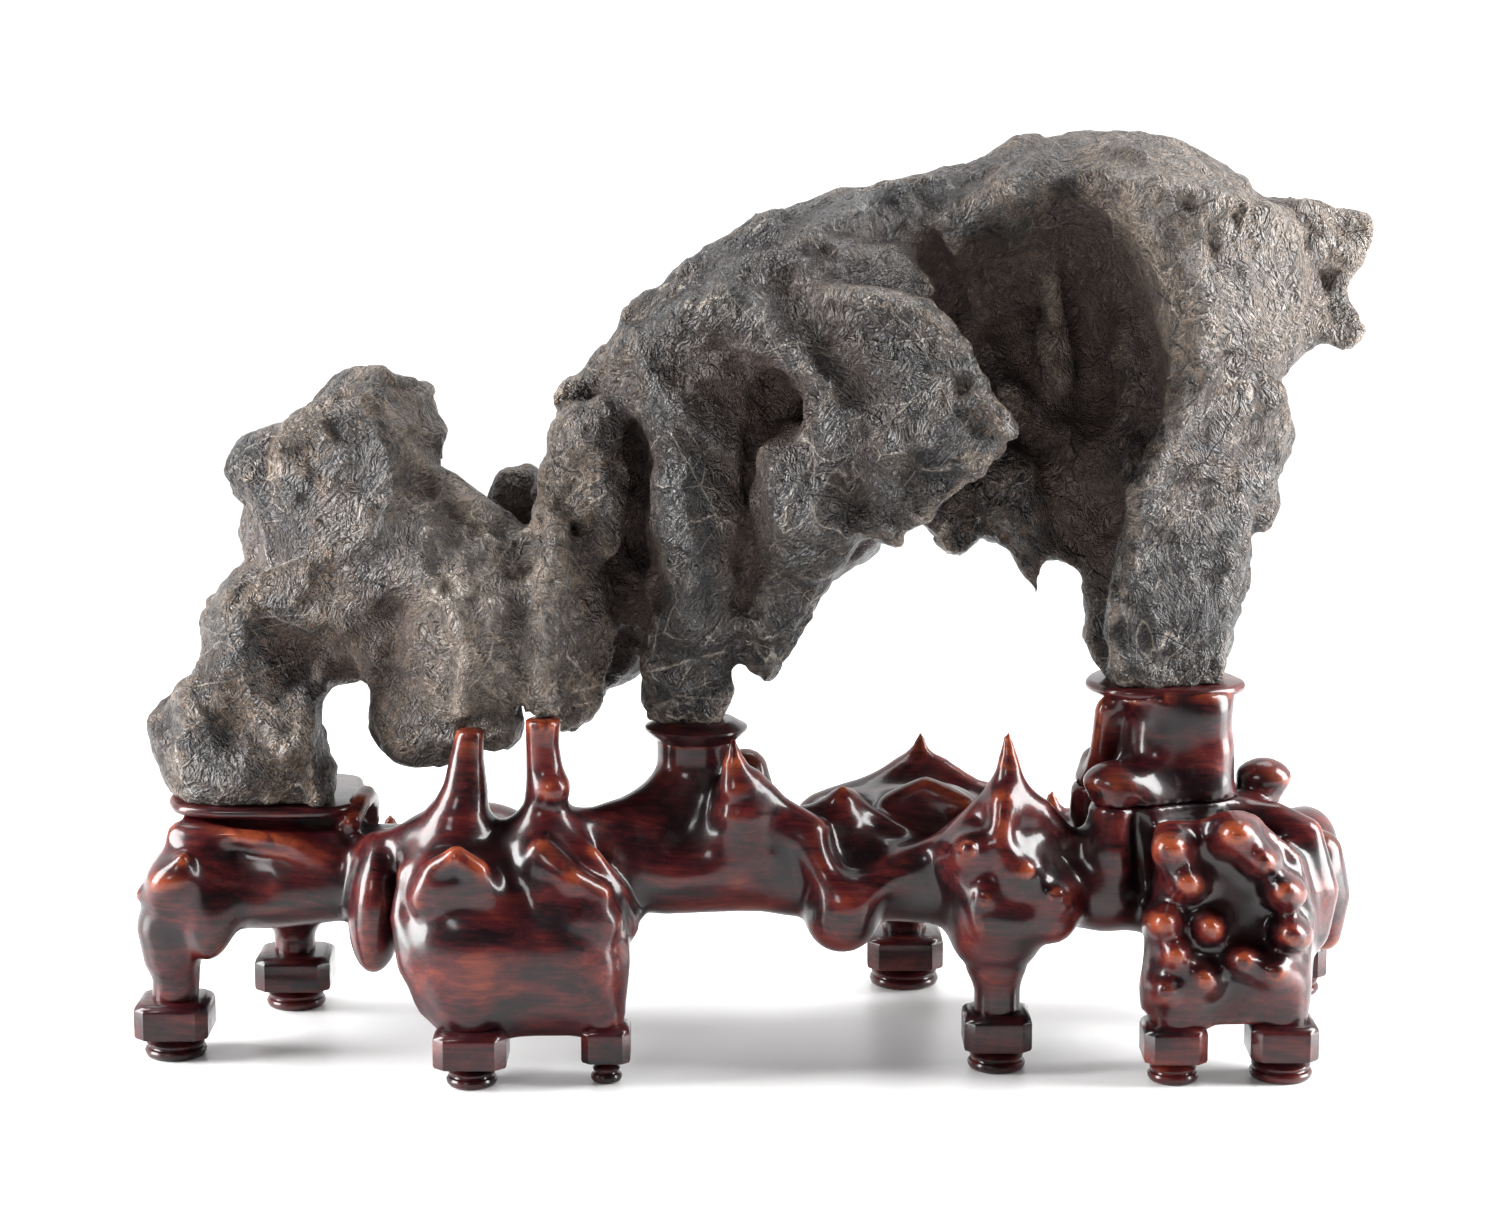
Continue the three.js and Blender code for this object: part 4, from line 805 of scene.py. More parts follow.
@dataclass(frozen=True)
class StoneFinish:
    """Weathered dark limestone: warm greys, blue-black stains, wrinkles like hide and long pale scratches.

    Zones are given in metres along X or Z: painted shade over the arch and the right leg's shank, painted
    light on the breast and the nose. Clouds and nets are given in millimetres.
    """

    dark: Colour = (0.009, 0.0075, 0.0075)
    middle: Colour = (0.046, 0.030, 0.0215)
    warm: Colour = (0.108, 0.069, 0.044)
    pale: Colour = (0.225, 0.172, 0.132)
    stain: Colour = (0.008, 0.008, 0.011)
    # painted shade: the colour put into the hollows
    cave_shade: Colour = (0.080, 0.050, 0.040)
    earth: Colour = (0.128, 0.076, 0.040)
    scratch: Colour = (0.42, 0.36, 0.30)
    stops: Sequence[float] = (0.36, 0.45, 0.515, 0.61)
    sheen: float = 0.6
    cover: StoneCover = StoneCover()

    drift: Sequence[float] = (26, 7)
    aside: Point = (35, 50, 20)
    clouds: Cloud = Cloud(44, 4, 0.6, 0.6)
    clouds_share: float = 0.6
    mottle: Cloud = Cloud(8, 5, 0.65, 0.4)
    mottle_share: float = 0.4
    mottled: Fade = Fade(0.4, 0.6)
    stains: Cloud = Cloud(24, 6, 0.66, 0.9)
    stained: Fade = Fade(0.5, 0.55)
    soil: Cloud = Cloud(36, 4, 0.6, 0.6)
    soiled: Fade = Fade(0.49, 0.57)
    soil_mottled: Fade = Fade(0.38, 0.56)
    # painted shade over the arch and the shank, painted light on the breast and the nose
    arch: Sequence[Fade] = (Fade(-0.075, -0.03), Fade(0.05, 0.11))
    shank: Sequence[Fade] = (Fade(0.11, 0.15), Fade(0.2, 0.27))
    breast: Sequence[Fade] = (Fade(-0.165, -0.12), Fade(-0.09, -0.05))
    nose: Sequence[Fade] = (Fade(0.12, 0.15), Fade(0.28, 0.31))
    # where the painted shade in the hollows fades in
    shaded_caves: Fade = Fade(-0.15, 0.38)
    sheltered: Fade = Fade(-0.1, 0.3)
    # where the painted highlight on the crests fades in
    crests: Fade = Fade(0.1, 0.34)

    fold_runs: Sequence[tuple[Point, float]] = (
        ((8, 34, 0), 4.6), ((20, -52, 15), 4.0), ((75, 85, 30), 4.8), ((-15, 5, 60), 3.4),
    )
    fold_grain: Sequence[float] = (3, 0.55, 0.6)
    fold_stretch: Point = (1, 1, 0.4)
    fold_keen: float = 9
    fold_patches: Sequence[Cloud] = (Cloud(32, 2), Cloud(26, 2))
    fold_aside: Point = (60, 20, 45)
    fold_patched: Fade = Fade(0.46, 0.54)
    fold_shares: Sequence[float] = (0.65, 0.45)
    calm: Cloud = Cloud(40)
    calmed: Fade = Fade(0.4, 0.58)
    calm_range: Sequence[float] = (0.45, 0.55)
    furrows: Fade = Fade(0.2, 0.55)
    folded: Fade = Fade(0.5, 0.85)

    cracks: Lines = Lines((0, 60, 0), 27, 0.012)
    crack_stretch: Point = (1, 1, 0.35)
    crack_patches: Cloud = Cloud(30, 2)
    cracked: Fade = Fade(0.48, 0.56)
    scratch_runs: Sequence[Lines] = (
        Lines((0, 38, 0), 30, 0.010), Lines((0, -34, 10), 34, 0.009), Lines((10, 82, 0), 38, 0.008),
        Lines((0, 62, 0), 42, 0.008),
    )
    scratch_slack: Sequence[float] = (90, 5)
    scratch_stretch: Point = (1, 1, 0.08)
    scratch_patches: Cloud = Cloud(20, 4, 0.6)
    scratched: Fade = Fade(0.44, 0.56)
    flecks: Cloud = Cloud(0.9, 2, 0.6)
    pale_flecks: Fade = Fade(0.6, 0.7)
    pale_flecked: Fade = Fade(-0.1, 0.2)
    dark_flecks: Fade = Fade(0.34, 0.42)

    rough: Sequence[float] = (0.27, 0.2, 0.15)
    relief: Sequence[float] = (1.1, 0.9, 0.3, 0.6)
    relief_depth: float = 2.9
    grain: Cloud = Cloud(1.3, 3, 0.6)
    fine_relief: Sequence[float] = (0.9, 0.6)
    fine_depth: float = 0.6

    def material(self) -> bpy.types.Material:
        """The stone's material.

        Returns:
            The material, which reads the mesh's hollow and crest values.
        """
        tree = Tree("weathered_stone")
        cover = self.cover
        place = tree.place
        loose = tree.warped(place, *self.drift)
        aside = tree.turned(place, self.aside)
        hollow = tree.felt("hollow")
        crest = tree.felt("crest")
        mottle = tree.noise(loose, self.mottle)
        mottled = mottle.above(self.mottled)
        stains = tree.noise(aside, self.stains)
        flecks = tree.noise(place, self.flecks)
        folds = self.folds(tree, loose, place)
        scratches = self.scratches(tree, place)
        cracks = tree.lines(loose, self.cracks, self.crack_stretch)
        cracks = cracks * tree.noise(aside, self.crack_patches).above(self.cracked)
        shaded, lit = self.zones(tree)

        tone = tree.noise(loose, self.clouds) * self.clouds_share + mottle * self.mottle_share
        colours = (self.dark, self.middle, self.warm, self.pale)
        colour = tree.ramp(tone, list(zip(self.stops, colours)))
        earthy = tree.noise(aside, self.soil).above(self.soiled) * mottle.above(self.soil_mottled)
        for over, share in (
            (self.earth, earthy * cover.earth),
            # painted shade over the arch and the shank, painted light on the breast and the nose
            (self.dark, shaded * (cover.shade + stains * cover.shade_stains)),
            (self.pale, lit * cover.light),
            (self.stain, stains.above(self.stained) * (cover.stain - lit * cover.stain_in_light)),
            (self.dark, folds.below(self.furrows) * cover.furrow),
            (self.pale, folds.above(self.folded) * mottled * cover.fold),
            # painted shade in the hollows
            (self.cave_shade, hollow.below(self.shaded_caves) * cover.cave_shade),
            (self.dark, cracks * cover.crack),
            # painted highlight: paler on the crests
            (self.pale, crest.above(self.crests) * mottled * cover.crest),
            (self.scratch, scratches * hollow.above(self.sheltered) * cover.scratch),
            (self.pale, flecks.above(self.pale_flecks) * crest.above(self.pale_flecked) * cover.fleck),
            (self.dark, flecks.below(self.dark_flecks) * cover.fleck),
        ):
            colour = tree.mix(colour, over, share)
        even, mottle_rough, cave_rough = self.rough
        rough = even + mottle * mottle_rough + hollow.below(self.sheltered) * cave_rough
        heights = [layer * share for layer, share in zip((folds, mottle, stains, cracks), self.relief)]
        normal = tree.bump(heights[0] + heights[1] + heights[2] - heights[3], self.relief_depth)
        grain = tree.noise(place, self.grain) * self.fine_relief[0]
        normal = tree.bump(grain + scratches * self.fine_relief[1], self.fine_depth, normal)
        return tree.finish(colour, rough, normal, {"Specular IOR Level": self.sheen})

    def zones(self, tree: Tree) -> tuple[Value, Value]:
        """Where the photograph shows the stone darker and paler as a whole, painted as shade and light.

        Args:
            tree: the material's nodes.

        Returns:
            A mask of painted shade over the arch and the right leg's shank, and one of painted light on the
            breast and the nose.
        """
        across = tree.node("SeparateXYZ", {}, {0: tree.place}, "X")
        height = tree.node("SeparateXYZ", {}, {0: tree.place}, "Z")
        arch = across.above(self.arch[0]) * across.below(self.arch[1])
        shank = across.above(self.shank[0]) * height.below(self.shank[1])
        breast = across.above(self.breast[0]) * across.below(self.breast[1])
        nose = across.above(self.nose[0]) * height.above(self.nose[1])
        return arch + shank, breast + nose

    def folds(self, tree: Tree, loose: Value, place: Value) -> Value:
        """Wrinkles that change direction from place to place.

        Args:
            tree: the material's nodes.
            loose, place: the warped place and the plain one.

        Returns:
            1 on the crest of a fold, near 0 between folds.
        """
        runs = []
        for turn, size in self.fold_runs:
            run = tree.noise(tree.turned(loose, turn, self.fold_stretch), Cloud(size, *self.fold_grain))
            runs.append(run.ridge() ** self.fold_keen)
        first = tree.noise(place, self.fold_patches[0]).above(self.fold_patched)
        aside = tree.turned(place, self.fold_aside)
        second = tree.noise(aside, self.fold_patches[1]).above(self.fold_patched)
        long_runs = runs[0] * first + runs[1] * (1 - first)
        cross_runs = runs[2] * second + runs[3] * (1 - second)
        calm = tree.noise(place, self.calm).above(self.calmed) * self.calm_range[0] + self.calm_range[1]
        return (long_runs * self.fold_shares[0] + cross_runs * self.fold_shares[1]) * calm

    def scratches(self, tree: Tree, place: Value) -> Value:
        """Long, thin and nearly straight scratches that cross each other.

        Args:
            tree: the material's nodes.
            place: where they are read.

        Returns:
            1 on a scratch, 0 beside it.
        """
        slack = tree.warped(place, *self.scratch_slack)
        total = None
        for run in self.scratch_runs:
            lines = tree.lines(slack, run, self.scratch_stretch)
            total = lines if total is None else tree.math(Sum.MAXIMUM, total, lines)
        return total * tree.noise(place, self.scratch_patches).above(self.scratched)


@dataclass(frozen=True)
class LacquerFinish:
    """Glossy lacquered hardwood: near black to burgundy, worn to orange-red on the knobs, with painted
    shade in the hollows.
    """

    deep: Colour = (0.0055, 0.0013, 0.0022)
    red: Colour = (0.033, 0.0038, 0.0052)
    glow: Colour = (0.080, 0.0095, 0.0085)
    worn: Colour = (0.22, 0.042, 0.014)
    dust: Colour = (0.11, 0.085, 0.08)
    stops: Sequence[float] = (0.42, 0.51, 0.6, 0.76)
    sheen: float = 0.12
    coat: float = 0.52
    coat_rough: float = 0.15

    slack: Sequence[float] = (70, 5)
    lean: Point = (0, 3, 0)
    streak_stretch: Point = (0.05, 1, 1)
    streaks: Cloud = Cloud(1.9, 4, 0.65, 0.3)
    streaked: Fade = Fade(0.35, 0.65)
    fibre: Cloud = Cloud(0.7, 2, 0.6)
    cloud_stretch: Point = (0.45, 1, 1)
    clouds: Cloud = Cloud(17, 4, 0.6, 0.5)
    tone_shares: Sequence[float] = (0.7, 0.3)
    pore_stretch: Point = (0.1, 1, 1)
    pores: Cloud = Cloud(0.8, 1)
    porous: Fade = Fade(0.64, 0.74)
    smear: Cloud = Cloud(11, 4, 0.6, 0.5)
    smeared: Fade = Fade(0.38, 0.58)
    specks: Cloud = Cloud(0.8, 1)
    speckled: Fade = Fade(0.7, 0.74)
    raised: Fade = Fade(0.08, 0.3)
    rubbed: Fade = Fade(0.18, 0.5)
    # where the painted shade in the hollows fades in
    shaded_hollows: Fade = Fade(-0.25, 0.2)
    sheltered: Fade = Fade(-0.1, 0.3)
    dusted: Fade = Fade(0.52, 0.68)

    glow_cover: float = 0.6
    worn_cover: float = 0.9
    # painted shade in the hollows
    hollow_shade_cover: float = 0.85
    pore_cover: float = 0.5
    dust_cover: float = 0.12
    speck_cover: float = 0.15
    rough: Sequence[float] = (0.3, 0.15, 0.25)
    relief: Sequence[float] = (0.5, 0.2, 0.5)
    relief_depth: float = 0.06
    smear_depth: float = 0.28

    def material(self, name: str) -> bpy.types.Material:
        """The wood's material.

        Args:
            name: the material's name.

        Returns:
            The material, which reads the mesh's hollow and crest values.
        """
        tree = Tree(name)
        slack = tree.warped(tree.place, *self.slack)
        along = tree.turned(slack, self.lean, self.streak_stretch)
        streaks = tree.noise(along, self.streaks)
        fibre = tree.noise(along, self.fibre)
        clouds = tree.noise(tree.turned(slack, self.lean, self.cloud_stretch), self.clouds)
        grain = tree.turned(tree.place, self.lean, self.pore_stretch)
        pores = tree.noise(grain, self.pores).above(self.porous)
        smear = tree.noise(tree.place, self.smear)
        specks = tree.noise(tree.place, self.specks).above(self.speckled)
        hollow = tree.felt("hollow")
        crest = tree.felt("crest")
        dusty = hollow.below(self.sheltered) * smear.above(self.dusted)

        tone = clouds * self.tone_shares[0] + streaks * self.tone_shares[1]
        colours = (self.deep, self.red, self.glow, self.worn)
        colour = tree.ramp(tone, list(zip(self.stops, colours)))
        for over, share in (
            (self.glow, crest.above(self.raised) * streaks.above(self.streaked) * self.glow_cover),
            (self.worn, crest.above(self.rubbed) * smear.above(self.smeared) * self.worn_cover),
            # painted shade: darker in the hollows
            (self.deep, hollow.below(self.shaded_hollows) * self.hollow_shade_cover),
            (self.deep, pores * self.pore_cover),
            (self.dust, dusty * self.dust_cover + specks * self.speck_cover),
        ):
            colour = tree.mix(colour, over, share)
        rough = self.rough[0] + smear * self.rough[1] + dusty * self.rough[2]
        heights = [layer * share for layer, share in zip((streaks, fibre, pores), self.relief)]
        normal = tree.bump(heights[0] + heights[1] - heights[2], self.relief_depth)
        normal = tree.bump(smear, self.smear_depth, normal)
        fixed = {
            "Coat Weight": self.coat, "Coat Roughness": self.coat_rough, "Specular IOR Level": self.sheen,
        }
        return tree.finish(colour, rough, normal, fixed)


@dataclass(frozen=True)
class FloorFinish:
    """The pale sweep that the stand is on."""

    tone: Colour = (0.86, 0.86, 0.86)
    rough: float = 0.32

    def material(self) -> bpy.types.Material:
        """The floor's material.

        Returns:
            The material.
        """
        material = bpy.data.materials.new("pale_floor")
        material.use_nodes = True
        shader = material.node_tree.nodes["Principled BSDF"]
        shader.inputs["Base Color"].default_value = (*self.tone, 1)
        shader.inputs["Roughness"].default_value = self.rough
        return material


def smooth(obj: bpy.types.Object) -> None:
    """Shades the whole mesh smooth."""
    obj.data.shade_smooth()


def carry(obj: bpy.types.Object, name: str, values: np.ndarray) -> None:
    """Stores one number for each point of the mesh.

    Args:
        obj: the object.
        name: what the material calls it.
        values: the numbers.
    """
    layer = obj.data.attributes.new(name, "FLOAT", "POINT")
    layer.data.foreach_set("value", values.astype(np.float32))


def places_of(obj: bpy.types.Object) -> np.ndarray:
    """The mesh's points in the forms' millimetres.

    Args:
        obj: the object.

    Returns:
        One row for each point.
    """
    flat = np.empty(len(obj.data.vertices) * 3, dtype=np.float32)
    obj.data.vertices.foreach_get("co", flat)
    return flat.reshape(-1, 3) / MM + (*CENTRE, 0)


def normals_of(obj: bpy.types.Object) -> np.ndarray:
    """The directions in which the mesh's points face.

    Args:
        obj: the object.

    Returns:
        One row for each point.
    """
    flat = np.empty(len(obj.data.vertices) * 3, dtype=np.float32)
    obj.data.vertex_normals.foreach_get("vector", flat)
    return flat.reshape(-1, 3)


def move_to(obj: bpy.types.Object, places: np.ndarray) -> None:
    """Moves the mesh's points to places in the forms' millimetres."""
    obj.data.vertices.foreach_set("co", ((places - (*CENTRE, 0)) * MM).astype(np.float32).ravel())
    obj.data.update()


def object_of(shape: bmesh.types.BMesh, name: str) -> bpy.types.Object:
    """Makes an object of a shape that is measured in the forms' millimetres.

    Args:
        shape: the shape, which is used up.
        name: the object's name.

    Returns:
        The object, in metres about the whole object's middle.
    """
    bmesh.ops.remove_doubles(shape, verts=shape.verts, dist=SAME_PLACE)
    bmesh.ops.recalc_face_normals(shape, faces=shape.faces)
    bmesh.ops.translate(shape, verts=shape.verts, vec=(-CENTRE[0], -CENTRE[1], 0))
    bmesh.ops.scale(shape, verts=shape.verts, vec=(MM, MM, MM))
    mesh = bpy.data.meshes.new(name)
    shape.to_mesh(mesh)
    shape.free()
    mesh.shade_smooth()
    mesh.set_sharp_from_angle(angle=math.radians(SHARP_ANGLE))
    obj = bpy.data.objects.new(name, mesh)
    bpy.context.collection.objects.link(obj)
    return obj


def spun(shape: bmesh.types.BMesh, at: Sequence[float], profile: Sequence[Sequence[float]]) -> None:
    """Turns a profile of (radius, height) round an upright axis, as on a lathe.

    Args:
        shape: what it is added to.
        at: where the axis is.
        profile: its points, from the bottom to the top.
    """
    points = [shape.verts.new((at[0] + radius, at[1], height)) for radius, height in profile]
    lines = [shape.edges.new(pair) for pair in zip(points, points[1:])]
    turn = {"cent": (*at, 0), "axis": (0, 0, 1), "angle": math.tau, "steps": LATHE_STEPS, "use_merge": True}
    bmesh.ops.spin(shape, geom=points + lines, **turn)


def rise_of(edge: bmesh.types.BMEdge) -> float:
    """How much higher one end of an edge is than the other."""
    return abs(edge.verts[0].co.z - edge.verts[1].co.z)


def rounded(
    shape: bmesh.types.BMesh, edges: Iterable[bmesh.types.BMEdge], width: float, steps: int,
) -> None:
    """Rounds edges off by a width, in so many steps."""
    bevel = {"affect": "EDGES", "profile": 0.5, "material": -1}
    bmesh.ops.bevel(shape, geom=list(edges), offset=width, segments=steps, **bevel)


def settle(obj: bpy.types.Object, stands_for: Node, material: bpy.types.Material) -> None:
    """Dresses a piece, lets it ride on the body and says which node it stands for.

    Args:
        obj: the piece.
        stands_for: the CAD node that it stands for.
        material: its finish.
    """
    node = stands_for.value
    obj.data.materials.append(material)
    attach(obj, "root")
    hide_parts(node)
    LOG.info("%s: %d faces, for %s", obj.name, len(obj.data.polygons), node)


@dataclass
class Stone(Piece):
    """The stone, an arch from its left foot to the hanging point at its right.

    Facets and ridges are given as the size of one and its height, and the bend as the size of its swells
    and how far they push. All fade out where the skin faces straight down, so that the soles stay flat.
    The seeds are those of the bend, the facets and the ridges.
    """

    cell: float = 2.1
    low: Point = (-266, -90, 84)
    high: Point = (272, 94, 402)
    plane: float = -40
    facets: Sequence[tuple[float, float]] = ((30, 2.6), (13, 1.2))
    ridges: Sequence[tuple[float, float]] = ((9, 0.9), (5, 0.45))
    bend: Sequence[float] = (34, 9)
    seeds: Sequence[int] = (40, 3, 20)
    ridge_top: float = 0.4
    ridge_fall: float = 1.6
    ridge_stretch: Point = (1, 1, 0.5)
    level: float = 0.99
    level_fade: float = 20
    hollow_reach: float = 34
    crest_reach: float = 7
    cut_from: float = 60
    finish: StoneFinish = field(default_factory=StoneFinish)

    def left_foot(self) -> None:
        """The left foot and the waist over it."""
        self.crag([
            [-236, -22, 109], [-176, -26, 108], [-174, -22, 120], [-243, -8, 118], [-246, -12, 132],
            [-245, -10, 146], [-238, -14, 157], [-226, -24, 165], [-214, -34, 160], [-200, -38, 150],
            [-190, -38, 130], [-196, -36, 112], [-226, -34, 116], [-232, -32, 136], [-184, -36, 158],
            [-178, -24, 158], [-176, -20, 140], [-236, 24, 112], [-240, 20, 140], [-228, 26, 162],
            [-184, 26, 164], [-176, 24, 112],
        ], 6, 1)
        self.lump([-222, -20, 150], [17, 17, 15], 6)
        self.lump([-206, -26, 124], [18, 15, 14], 6)
        self.pit([-217, -47, 140], [9, 13, 12], 5, 12)
        self.limb([[-184, -35, 157, 3.5], [-182, -37, 130, 3], [-181, -34, 108, 3]], 4)
        self.crag([
            [-222, -12, 174], [-225, -10, 184], [-221, -12, 194], [-212, -20, 203], [-200, -22, 206],
            [-188, -22, 200], [-186, -24, 168], [-206, -34, 172], [-206, -34, 192], [-220, -16, 166],
            [-221, 20, 176], [-220, 20, 196], [-204, 22, 204], [-188, 24, 200], [-188, 24, 166],
            [-220, 22, 166],
        ], 10, 1)
        self.lump([-206, -20, 168], [19, 18, 13], 8)
        self.lump([-209, -24, 188], [12, 14, 14], 5)
        self.pit([-191, -40, 187], [9, 15, 8], 4, -20)
        self.limb([[-195, 12, 200, 18], [-160, 16, 192, 26], [-130, 12, 196, 28]])
        self.limb([[-192, -4, 196, 18], [-160, 0, 188, 20]], 6)
        self.limb([[-186, 2, 172, 8], [-178, -10, 172, 7], [-160, -14, 169, 6]], 5)
        self.limb([[-180, -16, 182, 5], [-164, -20, 176, 5], [-150, -20, 182, 6]], 4)
        self.limb([[-185, 22, 170, 8], [-165, 24, 176, 10]])

    def head(self) -> None:
        """The head at the left, with the valley between it and the chest."""
        self.crag([
            [-187, -34, 267], [-190, -32, 245], [-182, -36, 226], [-168, -42, 215], [-153, -44, 222],
            [-147, -44, 240], [-132, -36, 253], [-140, -38, 265], [-149, -34, 279], [-151, -24, 290],
            [-163, -20, 289], [-171, -24, 279], [-187, 28, 262], [-185, 28, 228], [-150, 28, 220],
            [-132, 24, 252], [-148, 24, 288], [-164, 24, 290],
        ], 5, 1)
        self.crag([
            [-151, -25, 290], [-143, -15, 286], [-132, -8, 283], [-129, -6, 277], [-123, -6, 266],
            [-127, -14, 252], [-132, -33, 252], [-140, -35, 265], [-146, 22, 286], [-130, 18, 280],
            [-124, 18, 264], [-128, 20, 250],
        ], 3, 0.5)
        self.lump([-136, -2, 278], [9, 18, 8], 3)
        self.lump([-130, -4, 263], [9, 18, 8], 3)
        self.lump([-200, -8, 249], [13, 22, 16], 5)
        self.crag([
            [-211, -12, 240], [-213, -8, 250], [-206, -14, 260], [-196, -20, 266], [-187, -30, 267],
            [-191, -33, 246], [-188, -30, 232], [-203, -20, 234], [-209, 16, 242], [-204, 20, 258],
            [-190, 24, 262], [-190, 24, 232],
        ], 4, 1)
        self.crag([
            [-208, -4, 233], [-209, -4, 224], [-202, -8, 212], [-195, -14, 208], [-190, -22, 215],
            [-192, -24, 232], [-206, 14, 231], [-206, 12, 222], [-197, 14, 210], [-190, 16, 230],
        ], 4, 1)
        self.limb([[-187, -33, 268, 2.5], [-190, -33, 250, 2.5], [-187, -34, 232, 2.5]], 4)
        self.limb([[-186, -30, 268, 2.5], [-172, -27, 279, 2.5], [-160, -24, 289, 3]], 4)
        self.limb([[-180, 4, 214, 22], [-170, 6, 190, 22]], 6)
        self.crag([
            [-202, -26, 238], [-178, -36, 230], [-150, -40, 222], [-130, -42, 236], [-140, -46, 204],
            [-158, -38, 192], [-180, -32, 190], [-196, -28, 200], [-190, -34, 214], [-196, 10, 234],
            [-140, 10, 232], [-192, 10, 200], [-146, 10, 194],
        ], 10, 1)
        self.lump([-128, -30, 214], [15, 17, 15], 8)
        self.limb([[-186, -22, 196, 13], [-164, -22, 190, 14], [-146, -20, 180, 12]], 14)
        self.lump([-174, -10, 170], [10, 24, 11], 10)
        self.lump([-150, -10, 170], [10, 24, 11], 10)
        self.limb([[-168, 12, 226, 20], [-144, 12, 216, 20], [-122, 6, 206, 20]], 6)

    def chest(self) -> None:
        """The neck and the chest that hangs over the posts."""
        self.crag([
            [-146, -38, 240], [-132, -33, 253], [-121, -26, 245], [-112, -26, 236], [-100, -28, 229],
            [-92, -38, 222], [-108, -46, 216], [-132, -44, 222], [-134, 24, 250], [-104, 22, 230],
            [-92, 22, 220], [-100, 30, 200], [-140, 28, 215],
        ], 5, 1)
        self.crag([
            [-134, -46, 205], [-118, -52, 200], [-108, -47, 222], [-94, -44, 222], [-95, -50, 200],
            [-95, -54, 160], [-96, -48, 150], [-118, -48, 149], [-116, -57, 174], [-120, -34, 150],
            [-130, -30, 200], [-96, -30, 150], [-125, 25, 222], [-95, 25, 222], [-96, 25, 152],
            [-122, 25, 154],
        ], 4, 1)
        self.crag([
            [-143, -36, 197], [-149, -28, 188], [-151, -28, 165], [-142, -36, 138], [-122, -42, 136],
            [-117, -50, 160], [-120, -52, 190], [-134, -46, 204], [-146, 20, 190], [-148, 20, 160],
            [-138, 20, 140], [-120, 20, 138],
        ], 4, 1)
        self.limb([[-142, -38, 198, 2.5], [-135, -47, 203, 3], [-122, -53, 193, 3], [-116, -57, 172, 3],
                   [-119, -51, 148, 3]], 4)
        self.lump([-141, -12, 148], [17, 28, 22], 6)
        self.lump([-132, -16, 142], [16, 22, 16], 6)
        self.lump([-137, -4, 139], [12, 16, 11], 5)
        self.lump([-105, -30, 144], [12, 18, 10], 4)
        self.crag([
            [-80, -45, 226], [-62, -32, 216], [-58, -30, 178], [-60, -28, 153], [-65, -28, 145],
            [-78, -38, 140], [-82, -46, 170], [-77, -48, 200], [-88, -40, 150], [-88, -42, 222],
            [-86, 24, 222], [-60, 22, 215], [-60, 22, 168], [-70, 20, 148], [-88, 22, 152],
        ], 4, 1)
        self.limb([[-83, -42, 228, 8], [-81, -45, 206, 9]], 5)
        self.limb([[-85, -49, 204, 6.5], [-85.5, -51, 180, 6.5], [-86, -51, 148, 6.5]], 4)
        self.groove([[-93, -62, 146, 5.5], [-93, -62, 185, 5], [-92, -56, 226, 3.5]], 3)
        self.crag([
            [-106, 22, 234], [-105, 24, 243], [-100, 24, 249], [-90, 24, 249], [-84, 20, 240],
            [-88, 16, 226], [-104, 42, 238], [-98, 44, 248], [-88, 44, 246], [-86, 40, 228],
        ], 4, 1)
        self.limb([[-62, 14, 212, 20], [-46, 10, 200, 22], [-30, 0, 190, 18]])

    def knob(self) -> None:
        """The knob, its pillar and the recess beside it."""
        self.limb([[-64, 0, 238, 20], [-56, 6, 268, 19]], 6)
        self.lump([-69, -24, 263], [14, 19, 13.5], 3)
        self.crag([
            [-80, -16, 276], [-76, -16, 283], [-66, -14, 279], [-62, -12, 292], [-70, 16, 290],
            [-78, 14, 284], [-60, 16, 296], [-62, 10, 270], [-78, 8, 270],
        ], 4, 0.5)
        self.limb([[-60, -30, 274, 8], [-58, -32, 248, 8], [-61, -34, 218, 8]], 6)
        self.lump([-70, -26, 242], [13, 14, 15], 6)
        self.pit([-72, -46, 244], [8, 7, 8], 6, 8)
        self.limb([[-80, -30, 250, 5], [-84, -32, 232, 6]], 5)

    def middle(self) -> None:
        """The middle of the arch, up to its highest shoulder."""
        self.crag([
            [-55, -10, 300], [-50, -14, 314], [-40, -16, 320], [-26, -20, 327], [-6, -25, 347],
            [14, -25, 357], [40, -25, 363], [64, -23, 368], [84, -20, 371], [-50, -32, 276],
            [-30, -42, 264], [40, -45, 300], [-46, 35, 300], [0, 42, 342], [60, 46, 362], [90, 46, 368],
            [-46, 42, 250], [40, 52, 250], [90, 50, 262], [-20, -34, 318], [20, -38, 340],
        ], 6, 1)
        self.crag([
            [-68, -8, 280], [-69, -6, 289], [-66, -6, 295], [-58, -8, 297], [-50, -16, 306],
            [-46, -30, 290], [-52, -30, 268], [-62, 14, 292], [-50, 18, 304], [-56, 16, 270],
        ], 3, 0.5)
        self.crag([
            [-44, -22, 270], [-40, -25, 200], [-36, -20, 172], [0, -30, 174], [22, -36, 200],
            [44, -36, 222], [50, -36, 262], [-44, 36, 270], [-38, 30, 190], [-8, 30, 175], [28, 36, 205],
            [60, 36, 226], [60, 36, 270],
        ], 6, 1)
        self.pit([-46, -52, 214], [7, 19, 40], 6)
        self.pit([-50, -44, 258], [5, 9, 18], 6, 12)
        self.limb([[-70, 14, 244, 18], [-46, 16, 238, 20], [-30, 12, 256, 20]], 6)
        self.limb([[-46, -28, 298, 9], [-36, -32, 282, 10], [-28, -36, 262, 13], [-26, -38, 236, 14],
                   [-25, -36, 210, 14], [-24, -30, 190, 13]], 8)
        self.limb([[-16, -34, 268, 12], [-15, -36, 240, 12], [-17, -32, 210, 13], [-20, -28, 185, 14]], 6)
